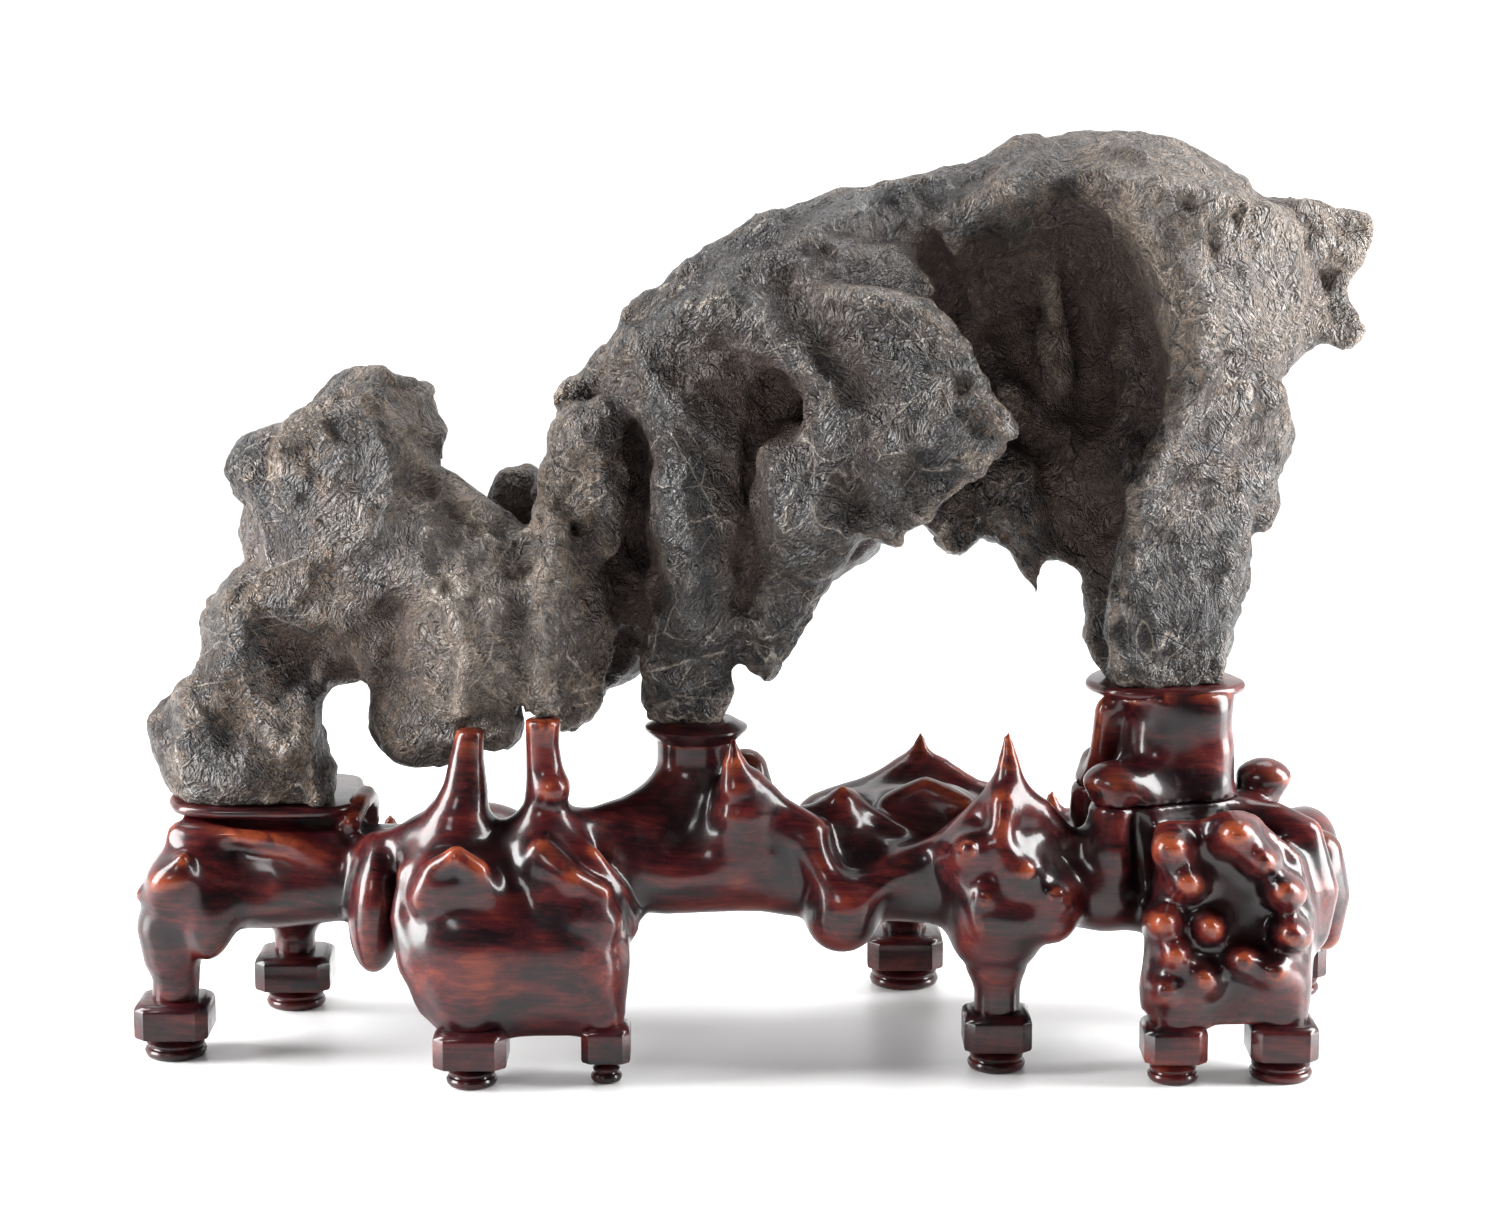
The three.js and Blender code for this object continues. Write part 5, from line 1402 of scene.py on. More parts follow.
        self.lump([23, -36, 234], [21, 22, 32], 4, -6)
        self.crag([[4, -44, 258], [34, -48, 261], [42, -46, 240], [40, -42, 222], [10, -44, 204],
                   [4, -38, 196], [6, -10, 190], [36, -10, 222], [10, 0, 256], [20, 0, 200]], 4, 1)
        self.pit([-3, -58, 222], [5, 28, 42], 3, 2)
        self.limb([[-28, -32, 308, 9], [-10, -36, 318, 10], [6, -40, 310, 10], [20, -44, 296, 11],
                   [32, -46, 280, 12], [38, -46, 262, 12]], 12)
        self.pit([10, -56, 277], [14, 32, 13], 4, -8)
        self.pit([-8, -56, 284], [20, 16, 18], 10)
        self.crag([
            [-12, -34, 334], [28, -40, 342], [58, -40, 340], [78, -44, 322], [44, -50, 304], [4, -42, 300],
            [-12, 20, 330], [72, 20, 336], [62, 20, 300], [4, 20, 300],
        ], 8, 1)

    def second_foot(self) -> None:
        """The foot in the socket, and the flake that hangs beside it."""
        self.crag([
            [-43, -28, 160], [-42, -28, 143], [-14, -28, 142], [-12, -28, 152], [-6, -28, 166],
            [-8, -34, 188], [-38, -38, 190], [-43, -34, 174], [-38, 8, 188], [-38, 6, 144], [-16, 6, 144],
            [-8, 8, 186],
        ], 4, 1)
        self.crag([
            [-3, -32, 166], [7, -30, 160], [9, -30, 163], [14, -30, 172], [24, -34, 189], [33, -34, 206],
            [10, -42, 206], [-5, -38, 190], [0, 6, 170], [8, 6, 166], [26, 10, 196], [6, 10, 200],
        ], 3, 0.3)

    def canopy(self) -> None:
        """The back wall and the canopy, hollowed out between the snout and the right leg."""
        self.crag([
            [74, 4, 230], [86, -4, 226], [100, 2, 238], [135, 6, 222], [145, 4, 205], [165, 4, 200],
            [76, 46, 240], [110, 48, 246], [140, 44, 226], [165, 42, 205], [76, 6, 335], [165, 6, 335],
            [76, 50, 340], [165, 50, 340],
        ], 6, 1)
        self.crag([
            [74, -30, 352], [105, -42, 366], [150, -46, 369], [185, -44, 360], [204, -32, 354],
            [92, -12, 375], [106, -10, 383], [150, -12, 386], [168, -10, 384], [194, -6, 370],
            [78, 46, 356], [120, 50, 376], [168, 48, 376], [204, 40, 358], [84, -36, 310], [172, -46, 300],
            [90, 46, 300], [190, 40, 300],
        ], 6, 1)
        self.crag([[80, -30, 320], [170, -46, 310], [165, -40, 240], [100, -10, 240], [84, 30, 310],
                   [170, 30, 240]], 6, 1)
        self.pit([126, -60, 298], [38, 70, 62], 34, 6)
        self.pit([134, -30, 292], [22, 46, 40], 22)
        self.pit([118, -50, 244], [27, 54, 28], 10)
        self.pit([98, -26, 326], [12, 24, 22], 7, -10)
        self.limb([[112, -16, 362, 7], [118, -4, 338, 6], [122, 6, 312, 6], [124, 12, 286, 7]], 9)
        self.limb([[104, 4, 280, 7], [116, 8, 268, 6], [134, 12, 262, 6], [148, 4, 252, 7]], 9)
        self.limb([[94, 0, 258, 9], [104, 2, 246, 9], [108, 2, 236, 11]], 8)
        self.limb([[126, 6, 250, 8], [130, 8, 232, 9]], 8)
        self.crag([
            [70, -18, 232], [72, -22, 226], [80, -20, 215], [86, -18, 214], [91, -12, 221], [96, -6, 228],
            [90, -14, 244], [72, 16, 230], [82, 14, 216], [94, 18, 228], [80, 14, 250],
        ], 4, 0.5)

    def snout(self) -> None:
        """The snout that reaches over the great hollow."""
        self.crag([
            [108, -66, 263], [106, -67, 270], [99, -67, 278], [88, -65, 293], [78, -61, 310],
            [72, -56, 318], [40, -50, 324], [26, -44, 318], [30, -48, 262], [42, -48, 226], [58, -50, 219],
            [70, -53, 228], [86, -58, 239], [98, -62, 251], [64, -62, 284], [60, -60, 256], [40, 0, 320],
            [84, -30, 296], [98, -40, 264], [90, -34, 250], [56, 0, 226],
        ], 4, 0.3)
        self.limb([[30, -46, 322, 4], [56, -55, 318, 4], [74, -58, 313, 3], [88, -65, 291, 3],
                   [100, -68, 275, 3], [106, -67, 264, 3]], 4)
        self.limb([[100, -65, 254, 2.5], [84, -60, 241, 2.5], [70, -54, 231, 2.5]], 4)

    def right_leg(self) -> None:
        """The right leg, with the flange and the tooth at its outer side."""
        self.crag([
            [168, -44, 314], [216, -30, 314], [170, -47, 274], [211, -32, 274], [172, 34, 312],
            [214, 28, 312], [172, 32, 276], [210, 26, 276],
        ], 6, 1)
        self.limb([[160, 0, 300, 16], [164, -4, 270, 16]])
        self.crag([
            [150, -42, 366], [200, -40, 358], [220, -26, 346], [220, -26, 302], [182, -50, 300],
            [165, -45, 330], [160, 40, 366], [222, 30, 352], [218, 30, 296], [170, 40, 290],
        ], 6, 1)
        self.crag([
            [178, -47, 286], [212, -34, 284], [218, -22, 268], [212, -22, 240], [168, -45, 250],
            [155, -40, 234], [178, 32, 286], [215, 26, 272], [210, 26, 236], [160, 28, 236],
        ], 6, 1)
        self.crag([
            [154, -40, 226], [160, -45, 240], [202, -34, 240], [205, -22, 216], [197, -24, 190],
            [192, -24, 158], [152, -30, 156], [147, -26, 180], [152, 25, 225], [203, 22, 226],
            [190, 16, 158], [154, 16, 160],
        ], 5, 1)
        self.crag([
            [138, -2, 200], [139, -4, 184], [143, -6, 172], [150, -10, 162], [134, 4, 211], [150, -5, 222],
            [152, 26, 222], [143, 24, 180], [152, 22, 166], [140, 22, 205],
        ], 4, 1)
        self.limb([[176, -44, 336, 6], [182, -48, 312, 7], [182, -49, 292, 7], [174, -47, 270, 7],
                   [163, -45, 250, 6], [158, -43, 236, 5]], 7)
        self.groove([[166, -52, 232, 5], [166, -50, 210, 5], [158, -46, 194, 5], [156, -42, 176, 5]], 4)
        self.limb([[156, -44, 240, 2], [158, -43, 222, 2.2], [156, -41, 206, 2.2], [149, -37, 194, 2.2],
                   [147, -34, 181, 2.2], [151, -33, 164, 2.2]], 3)
        self.crag([
            [205, -14, 360], [232, -6, 357], [242, -2, 354], [249, -2, 351], [249, -2, 342], [246, 0, 332],
            [242, -1, 323], [230, -5, 312], [215, -14, 304], [210, 26, 356], [236, 18, 350], [246, 14, 344],
            [240, 12, 328], [215, 26, 304],
        ], 3, 0.5)
        self.crag([
            [226, -5, 304], [233, -9, 302], [241, -11, 297], [249, -8, 304], [249, -6, 309], [243, -4, 320],
            [230, -6, 322], [228, 10, 303], [240, 8, 300], [246, 8, 308], [241, 8, 318],
        ], 3, 0.3)
        self.crag([
            [205, -20, 330], [226, -10, 322], [230, -2, 304], [216, -20, 292], [208, -28, 280],
            [205, 28, 330], [226, 20, 322], [229, 14, 304], [214, 24, 290], [206, 28, 280],
        ], 4, 1)
        self.pit([234, -20, 325], [7, 17, 8], 3)
        self.crag([[212, -18, 276], [220, -10, 272], [222, -6, 262], [217, -10, 250], [208, -22, 258],
                   [214, 14, 274], [219, 14, 262], [212, 14, 250]], 3, 0.5)
        self.crag([[206, -18, 248], [214, -8, 244], [215, -6, 234], [208, -14, 222], [200, -22, 232],
                   [208, 14, 246], [212, 12, 234], [204, 14, 224]], 3, 0.5)
        self.crag([[202, -12, 220], [209, -4, 214], [204, -8, 200], [196, -16, 208], [204, 12, 216],
                   [200, 12, 204]], 3, 0.3)

    def back(self) -> None:
        """Wide niches between low ridges, behind."""
        for centre, radii in [
            [[62, 84, 300], [34, 40, 36]], [[150, 82, 312], [26, 40, 42]], [[-8, 72, 292], [22, 36, 24]],
            [[192, 62, 240], [18, 36, 28]], [[-168, 56, 236], [17, 30, 17]],
            [[-112, 52, 190], [20, 30, 26]], [[112, 80, 262], [16, 36, 20]],
            [[-208, 48, 160], [14, 24, 12]], [[10, 66, 236], [14, 34, 24]],
        ]:
            self.pit(centre, radii, 9)
        for centre, radii in [
            [[22, 40, 316], [26, 18, 14]], [[108, 46, 332], [14, 16, 30]], [[86, 42, 262], [20, 18, 14]],
            [[192, 34, 296], [15, 18, 24]], [[-148, 26, 262], [15, 14, 15]],
            [[-206, 24, 138], [15, 12, 14]], [[-58, 26, 180], [18, 18, 22]], [[34, 38, 250], [9, 16, 26]],
            [[172, 26, 206], [14, 16, 22]],
        ]:
            self.lump(centre, radii, 9)

    def hanging_point(self) -> None:
        """The point that hangs in the arch."""
        self.limb([[104, -2, 244, 14], [109, -2, 230, 11.5], [113, -2, 217, 8.5], [116, -2, 206, 5.5],
                   [117, -2, 200, 2.8]], 5)

    def seated(self) -> None:
        """Cuts the stone flat over each seat, and keeps it clear of the posts."""
        for x0, x1, y0, y1, top in (
            (-280, -150, -80, 80, SEATS.left), (-56, -2, -80, 80, SEATS.middle),
            (130, 215, -80, 80, SEATS.right), (-127, -101, -66, -42, SEATS.post_left),
            (-96, -73, -66, -42, SEATS.post_right),
        ):
            self.clay.carve(Block((x0, y0, self.cut_from), (x1, y1, top + SEATS.gap)), CUT_BLEND)

    def build(self) -> None:
        """Works the clay, and weathers its skin."""
        for part in (
            self.left_foot, self.head, self.chest, self.knob, self.middle, self.second_foot, self.canopy,
            self.snout, self.right_leg, self.back,
        ):
            part()
        self.clay.wear(1)
        self.hanging_point()
        self.seated()
        obj = self.clay.skin("stone_body")
        smooth(obj)
        places, out = places_of(obj), normals_of(obj)
        free = np.clip((out[:, 2] + self.level) * self.level_fade, 0, 1)
        carry(obj, "hollow", self.clay.felt(places, self.hollow_reach))
        carry(obj, "crest", self.clay.felt(places, self.crest_reach))
        bend_seed, facet_seed, ridge_seed = self.seeds
        length, reach = self.bend
        bends = [Noise(bend_seed + axis, length).at(places) for axis in range(3)]
        bent = places + np.stack(bends, axis=1) * reach
        rise = np.zeros(len(places))
        for step, (length, height) in enumerate(self.facets):
            rise += Noise(facet_seed + step, length).facets(bent) * height
        for step, (length, height) in enumerate(self.ridges):
            away = np.abs(Noise(ridge_seed + step, length).at(bent * self.ridge_stretch))
            rise += (self.ridge_top - away * self.ridge_fall) * height
        move_to(obj, places + out * (rise * free)[:, None])
        settle(obj, Node.STONE, self.finish.material())


@dataclass
class Feet:
    """The nine turned feet: a chamfered block over a waist and a rounded pad.

    Each place is its x, its y and how wide its pad and its block are. The profile is given as how far the
    pad is drawn in and the height. An edge that rises more than "upright" counts as upright, and one that
    rises less than "level" as level.
    """

    places: Sequence[Sequence[float]] = (
        (-242, -32, 26, 31), (-114, -73, 21, 30), (-59, -69, 13, 20), (102.5, -50, 24, 28),
        (174, -67, 21, 26), (219, -63, 26, 28), (-200.7, 41, 26, 33), (69.6, 76, 31, 34), (241, 62, 28, 31),
    )
    profile: Sequence[tuple[float, float]] = (
        (2.2, 0), (0.9, 0.5), (0.2, 1.6), (0, 2.8), (0.5, 3.7), (1.6, 4.1), (1.9, 4.6), (1.1, 5.1),
        (0.8, 6), (1.4, 6.9), (3, 7.6), (3.6, 8.6),
    )
    neck: float = 3.4
    waist: float = 9.5
    overlap: float = 1
    top: float = 25
    corner: float = 0.3
    chamfer: float = 3.4
    chamfer_steps: int = 3
    lower_round: float = 1.6
    lower_steps: int = 2
    upright: float = 1
    level: float = 0.1
    hollow: float = 0.1

    def foot(self, shape: bmesh.types.BMesh, x: float, y: float, pad: float, block: float) -> None:
        """One foot.

        Args:
            shape: what it is added to.
            x, y: its middle.
            pad, block: how wide its pad and its block are.
        """
        r = pad / 2
        joint = self.waist + self.overlap
        turned = [(r - inset, height) for inset, height in self.profile]
        spun(shape, (x, y), [(0, 0), *turned, (r - self.neck, joint), (0, joint)])
        middle = Matrix.Translation((x, y, (self.waist + self.top) / 2))
        size = Matrix.Diagonal((block, block, self.top - self.waist, 1))
        made = bmesh.ops.create_cube(shape, size=1, matrix=middle @ size)["verts"]
        upright = [e for e in {e for v in made for e in v.link_edges} if rise_of(e) > self.upright]
        kept = set(shape.verts) - set(made)
        rounded(shape, upright, block / 2 * self.corner, 1)
        ends = [e for v in set(shape.verts) - kept for e in v.link_edges]
        level = {e for e in ends if rise_of(e) < self.level}
        upper = [e for e in level if e.verts[0].co.z > middle.translation.z]
        rounded(shape, upper, self.chamfer, self.chamfer_steps)
        ends = [e for v in set(shape.verts) - kept for e in v.link_edges]
        lower = {e for e in ends if max(v.co.z for v in e.verts) < self.waist + self.level}
        rounded(shape, lower, self.lower_round, self.lower_steps)

    def build(self, material: bpy.types.Material) -> None:
        """Makes all the feet as one self.

        Args:
            material: the wood's finish.
        """
        shape = bmesh.new()
        for place in self.places:
            self.foot(shape, *place)
        obj = object_of(shape, "stand_feet")
        carry(obj, "hollow", np.full(len(obj.data.vertices), self.hollow))
        carry(obj, "crest", np.zeros(len(obj.data.vertices)))
        settle(obj, Node.STAND, material)


@dataclass
class Seating:
    """The thin flared tops that the stone stands on: two plates and a collar."""

    left: Sequence[Sequence[float]] = (
        (-246, -12), (-240, -30), (-226, -37), (-196, -38), (-174, -36), (-163, -24), (-164, 6), (-168, 28),
        (-190, 37), (-222, 36), (-240, 24),
    )
    right: Sequence[Sequence[float]] = (
        (140, -12), (148, -31), (160, -37), (172, -35), (186, -38), (200, -30), (209, -15), (203, 6),
        (192, 18), (170, 23), (152, 17), (143, 2),
    )
    thick: float = 4.6
    corner: float = 6
    corner_steps: int = 4
    rim: float = 0.45
    rim_steps: int = 3
    rim_angle: float = 1
    hollow: float = 0.2
    crest: float = 0.16
    collar_at: Sequence[float] = (-22.5, -20)
    collar: Sequence[Sequence[float]] = (
        (0, -9), (16.5, -9), (18.5, -7), (20.6, -5.4), (21.5, -4), (21.4, -3.1), (20.4, -2.5), (18.6, -1.6),
        (16.5, -0.3), (15, 0), (0, 0),
    )

    def plate(self, outline: Sequence[Sequence[float]], top: float, name: str) -> bpy.types.Object:
        """A plate whose rim is drawn out thin.

        Args:
            outline: its corners from above.
            top: its height.
            name: the piece's name.

        Returns:
            The plate.
        """
        shape = bmesh.new()
        corners = [shape.verts.new((x, y, top - self.thick)) for x, y in outline]
        shape.faces.new(corners)
        round_off = {"affect": "VERTICES", "profile": 0.5, "material": -1}
        bmesh.ops.bevel(shape, geom=corners, offset=self.corner, segments=self.corner_steps, **round_off)
        raised = bmesh.ops.extrude_face_region(shape, geom=list(shape.faces))["geom"]
        upper = [item for item in raised if isinstance(item, bmesh.types.BMVert)]
        bmesh.ops.translate(shape, verts=upper, vec=(0, 0, self.thick))
        shape.normal_update()
        rims = [e for e in shape.edges if len(e.link_faces) == 2 and e.calc_face_angle(0) > self.rim_angle]
        rounded(shape, rims, self.thick * self.rim, self.rim_steps)
        return object_of(shape, name)

    def build(self, materials: Sequence[bpy.types.Material]) -> None:
        """Makes the seats.

        Args:
            materials: the finish of the stand and that of the riser.
        """
        shape = bmesh.new()
        spun(shape, self.collar_at, [(radius, SEATS.middle + drop) for radius, drop in self.collar])
        made = (
            (self.plate(self.left, SEATS.left, "left_seat"), Node.STAND, materials[0]),
            (object_of(shape, "middle_collar"), Node.STAND, materials[0]),
            (self.plate(self.right, SEATS.right, "right_seat"), Node.RISER, materials[1]),
        )
        for obj, node, material in made:
            carry(obj, "hollow", np.full(len(obj.data.vertices), self.hollow))
            carry(obj, "crest", np.full(len(obj.data.vertices), self.crest))
            settle(obj, node, material)


@dataclass
class Stand(Piece):
    """The carved stand: one low body on nine feet, with posts, a socket and a tower under the stone."""

    cell: float = 1.9
    low: Point = (-274, -112, -14)
    high: Point = (276, 112, 176)
    plane: float = -50
    feet: Feet = field(default_factory=Feet)
    seating: Seating = field(default_factory=Seating)
    finish: LacquerFinish = field(default_factory=LacquerFinish)
    hollow_reach: float = 16
    crest_reach: float = 5

    def body(self) -> None:
        """The low body that joins everything, with a raised rail along its front and back."""
        self.crag([
            [-230, -32, 98], [-172, -34, 98], [-168, -38, 76], [-200, -42, 70], [-228, -38, 68],
            [-238, -18, 76], [-228, 32, 96], [-170, 34, 98], [-168, 36, 78], [-226, 32, 72], [-238, 8, 84],
        ], 10)
        self.limb([[-226, -24, 79, 20], [-195, -27, 79, 19], [-160, -26, 81, 17]], 8)
        self.limb([[-234, -20, 82, 12], [-234, 6, 84, 13], [-226, 32, 84, 13], [-200, 40, 82, 12],
                   [-168, 38, 84, 12]])
        self.limb([[-175, -4, 84, 20], [-130, -16, 84, 20], [-95, -30, 82, 22]])
        self.limb([[-190, 38, 80, 18], [-120, 42, 84, 16], [-60, 34, 88, 16], [-10, 20, 92, 18]])
        self.limb([[-60, -34, 86, 19], [-34, -34, 86, 20], [-8, -32, 86, 19], [20, -30, 84, 17]])
        self.limb([[20, -30, 84, 17], [60, -34, 80, 17], [90, -36, 80, 19], [140, -34, 80, 18]])
        self.limb([[-20, 22, 86, 18], [40, 34, 88, 18], [90, 36, 86, 18], [150, 36, 84, 20],
                   [215, 34, 82, 20]])
        self.crag([
            [-60, -20, 96], [20, -20, 90], [100, -20, 92], [160, -20, 96], [-60, 20, 96], [100, 24, 94],
            [160, 24, 98], [-60, 0, 72], [160, 0, 74],
        ])
        self.clay.add(Crag([
            [-236, -28, 104], [-168, -28, 104], [-168, 28, 104], [-232, 28, 104], [-238, -32, 90],
            [-166, -32, 90], [-166, 32, 90], [-236, 32, 90],
        ], 0), 6)
        self.limb([[-236, -34, 100, 3], [-212, -40, 99, 3], [-190, -40, 96, 3], [-174, -38, 89, 3.5],
                   [-166, -34, 80, 4]], 7)
        self.groove([[-234, -46, 104, 2.5], [-205, -48, 103.5, 3], [-170, -44, 102, 3]], 5)
        self.limb([[-164, -30, 105, 4], [-161, -20, 112, 4.5], [-158, -8, 116, 4.5], [-157, 6, 114, 5],
                   [-158, 22, 106, 6]], 6)
        self.limb([[-50, -32, 98, 14], [-30, -30, 106, 14], [-14, -30, 104, 14]], 12)

    def left_leg(self) -> None:
        """The leg at the far left, with its two-pointed burl."""
        self.leg([[-242, -32, 20, 9.5], [-241, -32, 34, 10], [-242, -33, 44, 12.5], [-243, -34, 56, 13.5],
                  [-238, -34, 70, 15], [-230, -34, 84, 13]], 9)
        self.lump([-237, -44, 79], [12, 13, 11], 6)
        self.limb([[-235, -46, 82, 7], [-234, -51, 89, 2.5]], 5)
        self.limb([[-243, -42, 73, 7], [-251, -40, 74, 2.5]], 5)
        self.pit([-240, -62, 68], [12, 10, 5], 7, -8)
        self.pit([-207, -64, 76], [10, 17, 17], 8, -14)
        self.lump([-222, -44, 62], [9, 9, 16], 10, 12)

    def post_lobe(self) -> None:
        """The front lobe on two legs, with its two posts."""
        self.lump([-118, -62, 52], [26, 27, 36], 8)
        self.lump([-75, -60, 52], [24, 27, 35], 8)
        self.lump([-96, -48, 80], [34, 26, 24], 10)
        self.crag([
            [-130, -64, 28], [-112, -68, 20], [-72, -66, 20], [-60, -62, 28], [-58, -62, 48],
            [-132, -64, 48], [-126, -44, 26], [-62, -42, 26], [-120, -40, 60], [-64, -40, 60],
        ], 12)
        self.leg([[-114, -73, 18, 9], [-115, -72, 34, 13]], 9)
        self.leg([[-59, -69, 18, 6.5], [-60, -69, 28, 8], [-66, -68, 44, 14]], 9)
        self.lump([-154, -42, 70], [12, 23, 29], 7, 4)
        self.limb([[-160, -30, 86, 8], [-150, -40, 92, 8], [-136, -48, 96, 10]], 8)
        self.limb([[-141, -66, 82, 4.5], [-143, -68, 64, 5], [-138, -72, 46, 7]], 8)
        self.lump([-98, -64, 50], [22, 22, 32], 14)
        self.lump([-121, -70, 80], [17, 14, 13], 9)
        self.limb([[-109, -78, 74, 5], [-113, -82, 84, 5], [-121, -83, 90, 4.5], [-130, -80, 84, 4.5],
                   [-135, -78, 72, 5]], 6)
        self.limb([[-118, -80, 76, 5], [-126, -80, 74, 5]], 7)
        self.pit([-122, -98, 66], [13, 12, 4], 7)
        self.lump([-82, -68, 84], [12, 10, 9], 9, 30)
        self.limb([[-86, -72, 92, 5], [-74, -78, 80, 5.5], [-62, -74, 74, 5]], 7)
        self.limb([[-82, -76, 72, 5], [-72, -78, 66, 5.5], [-60, -72, 62, 6]], 7)
        self.pit([-84, -92, 78], [9, 6, 4], 7, 25)
        self.limb([[-79, -54, 100, 4.5], [-66, -64, 90, 4.5], [-56, -62, 76, 5], [-51, -54, 60, 5]], 5)
        self.limb([[-70, -46, 101, 4], [-56, -52, 88, 4], [-48, -48, 68, 5]], 5)
        self.limb([[-114, -52, 146, 5.5], [-116, -52, 132, 7], [-117, -52, 118, 9.5], [-120, -52, 104, 14],
                   [-124, -52, 92, 18]], 10)
        self.limb([[-84.5, -52, 150, 7.5], [-85, -52, 138, 6.8], [-84, -52, 122, 8], [-84, -52, 112, 9],
                   [-86, -52, 98, 14]], 10)
        self.lump([-81, -56, 119], [7, 8, 6], 5)

    def socket(self) -> None:
        """The socket for the stone's second foot, with the peak in front of it."""
        self.clay.add(Turned((-22.5, -20), [(84, 30), (98, 24), (112, 19), (122, 16.5), (136, 16.5)]), 12)
        self.limb([[-30, -22, 110, 13], [-50, -36, 104, 9], [-76, -48, 100, 8]], 10)
        self.limb([[-2, 8, 126, 10], [0, 6, 106, 14]], 8)
        self.limb([[-7, -46, 139, 1.3], [-6.5, -46, 129, 5], [-5, -45, 118, 9], [-3, -42, 108, 13.5],
                   [-1, -38, 94, 17]], 8)
        self.limb([[2, -42, 122, 3], [12, -40, 110, 5], [26, -42, 102, 5]], 10)
        self.pit([-26, -60, 104], [9, 16, 16], 10, 20)

    def rail(self) -> None:
        """Peaks and drops along the front rail."""
        self.limb([[14, -40, 102, 7], [24, -45, 96, 7], [31, -49, 84, 8], [38, -52, 70, 11]], 8)
        self.lump([38, -46, 64], [15, 17, 14], 8)
        self.limb([[40, -54, 72, 7], [54, -50, 80, 6], [70, -46, 88, 6], [84, -46, 94, 6]], 9)
        self.pit([46, -60, 92], [11, 20, 9], 9, -20)
        self.limb([[38, -26, 119, 1.6], [37.5, -26, 112, 6.5], [37, -25, 105, 11], [40, -24, 95, 16]], 8)
        self.limb([[40, -22, 114, 3], [54, -24, 104, 4], [64, -28, 96, 5]], 7)
        self.limb([[40, -20, 113, 3], [28, -24, 108, 4], [16, -28, 106, 5]], 7)
        self.lump([74, -6, 106], [24, 16, 16], 10)
        self.limb([[58, -14, 112, 4], [72, -14, 119, 4.5], [88, -20, 112, 4]], 8)
        self.limb([[70, 28, 142, 1.2], [69.5, 28, 133, 4.5], [68, 28, 123, 10], [66, 26, 110, 17]], 8)
        self.lump([62, 20, 104], [46, 18, 17], 10)
        self.limb([[64, 28, 126, 5], [48, 26, 117, 6], [30, 20, 108, 8]], 9)
        self.limb([[78, 28, 128, 4], [92, 28, 118, 5], [112, 24, 112, 6]], 9)
        self.groove([[2, -66, 72, 8], [14, -64, 78, 7]], 10)

    def middle_leg(self) -> None:
        """The front leg right of the middle, with its horn and burls."""
        self.leg([
            [102.5, -50, 20, 9.5], [102.5, -50, 34, 9.5], [102, -50, 46, 13], [102, -49, 60, 20],
            [104, -48, 76, 22], [107, -48, 92, 17], [108, -49, 106, 11], [106.5, -50, 118, 7.5],
            [106, -50, 130, 4.5], [105.5, -50, 141, 1.5],
        ], 10)
        self.lump([92, -50, 88], [12, 16, 18], 8)
        self.lump([121, -46, 74], [17, 15, 15], 8)
        self.limb([[104, -50, 113, 8], [118, -48, 108, 7], [130, -42, 96, 6]], 8)
        self.limb([[96, -46, 108, 6], [88, -44, 98, 6], [80, -44, 92, 5]], 8)
        for x, z, r in [[90, 91, 9], [114, 82, 9], [97, 71, 9], [127, 71, 9]]:
            self.limb([[x, -56, z, r + 1], [x, -64, z + 1, r * 0.8], [x, -70, z + 2, r * 0.4]], 9)
        self.pit([103, -84, 94], [7, 9, 8], 9)
        self.limb([[104, -60, 112, 4], [103, -66, 96, 4], [108, -68, 84, 4]], 8)
        self.limb([[98, -68, 62, 5], [112, -66, 62, 5], [126, -58, 60, 5]], 10)

    def knobbed_lobe(self) -> None:
        """The front lobe at the right, on two legs and covered with knobs."""
        self.crag([
            [168, -64, 30], [170, -66, 52], [168, -62, 75], [172, -62, 98], [188, -64, 100],
            [208, -60, 100], [222, -56, 88], [229, -54, 66], [227, -56, 45], [223, -60, 28], [188, -68, 24],
            [206, -68, 24], [170, -40, 30], [172, -36, 95], [226, -36, 85], [228, -40, 30],
        ], 12, 5)
        self.leg([[175, -67, 20, 9.5], [176, -67, 40, 12]], 9)
        self.leg([[219, -63, 20, 9.5], [218, -65, 40, 12]], 9)
        knobs = [
            [173, 93, 11], [180, 79, 9], [171, 62, 8], [200, 99, 11], [211, 88, 8], [221, 75, 9],
            [224, 57, 9], [176, 48, 8], [190, 60, 7], [188, 38, 8], [217, 41, 9], [172, 33, 7],
            [204, 46, 8],
        ]
        for x, z, r in knobs:
            self.lump([x, -70, z], [r, 11, r * 0.85], 7)
            self.lump([x, -79, z + 1], [r * 0.4, 5, r * 0.3], 8)

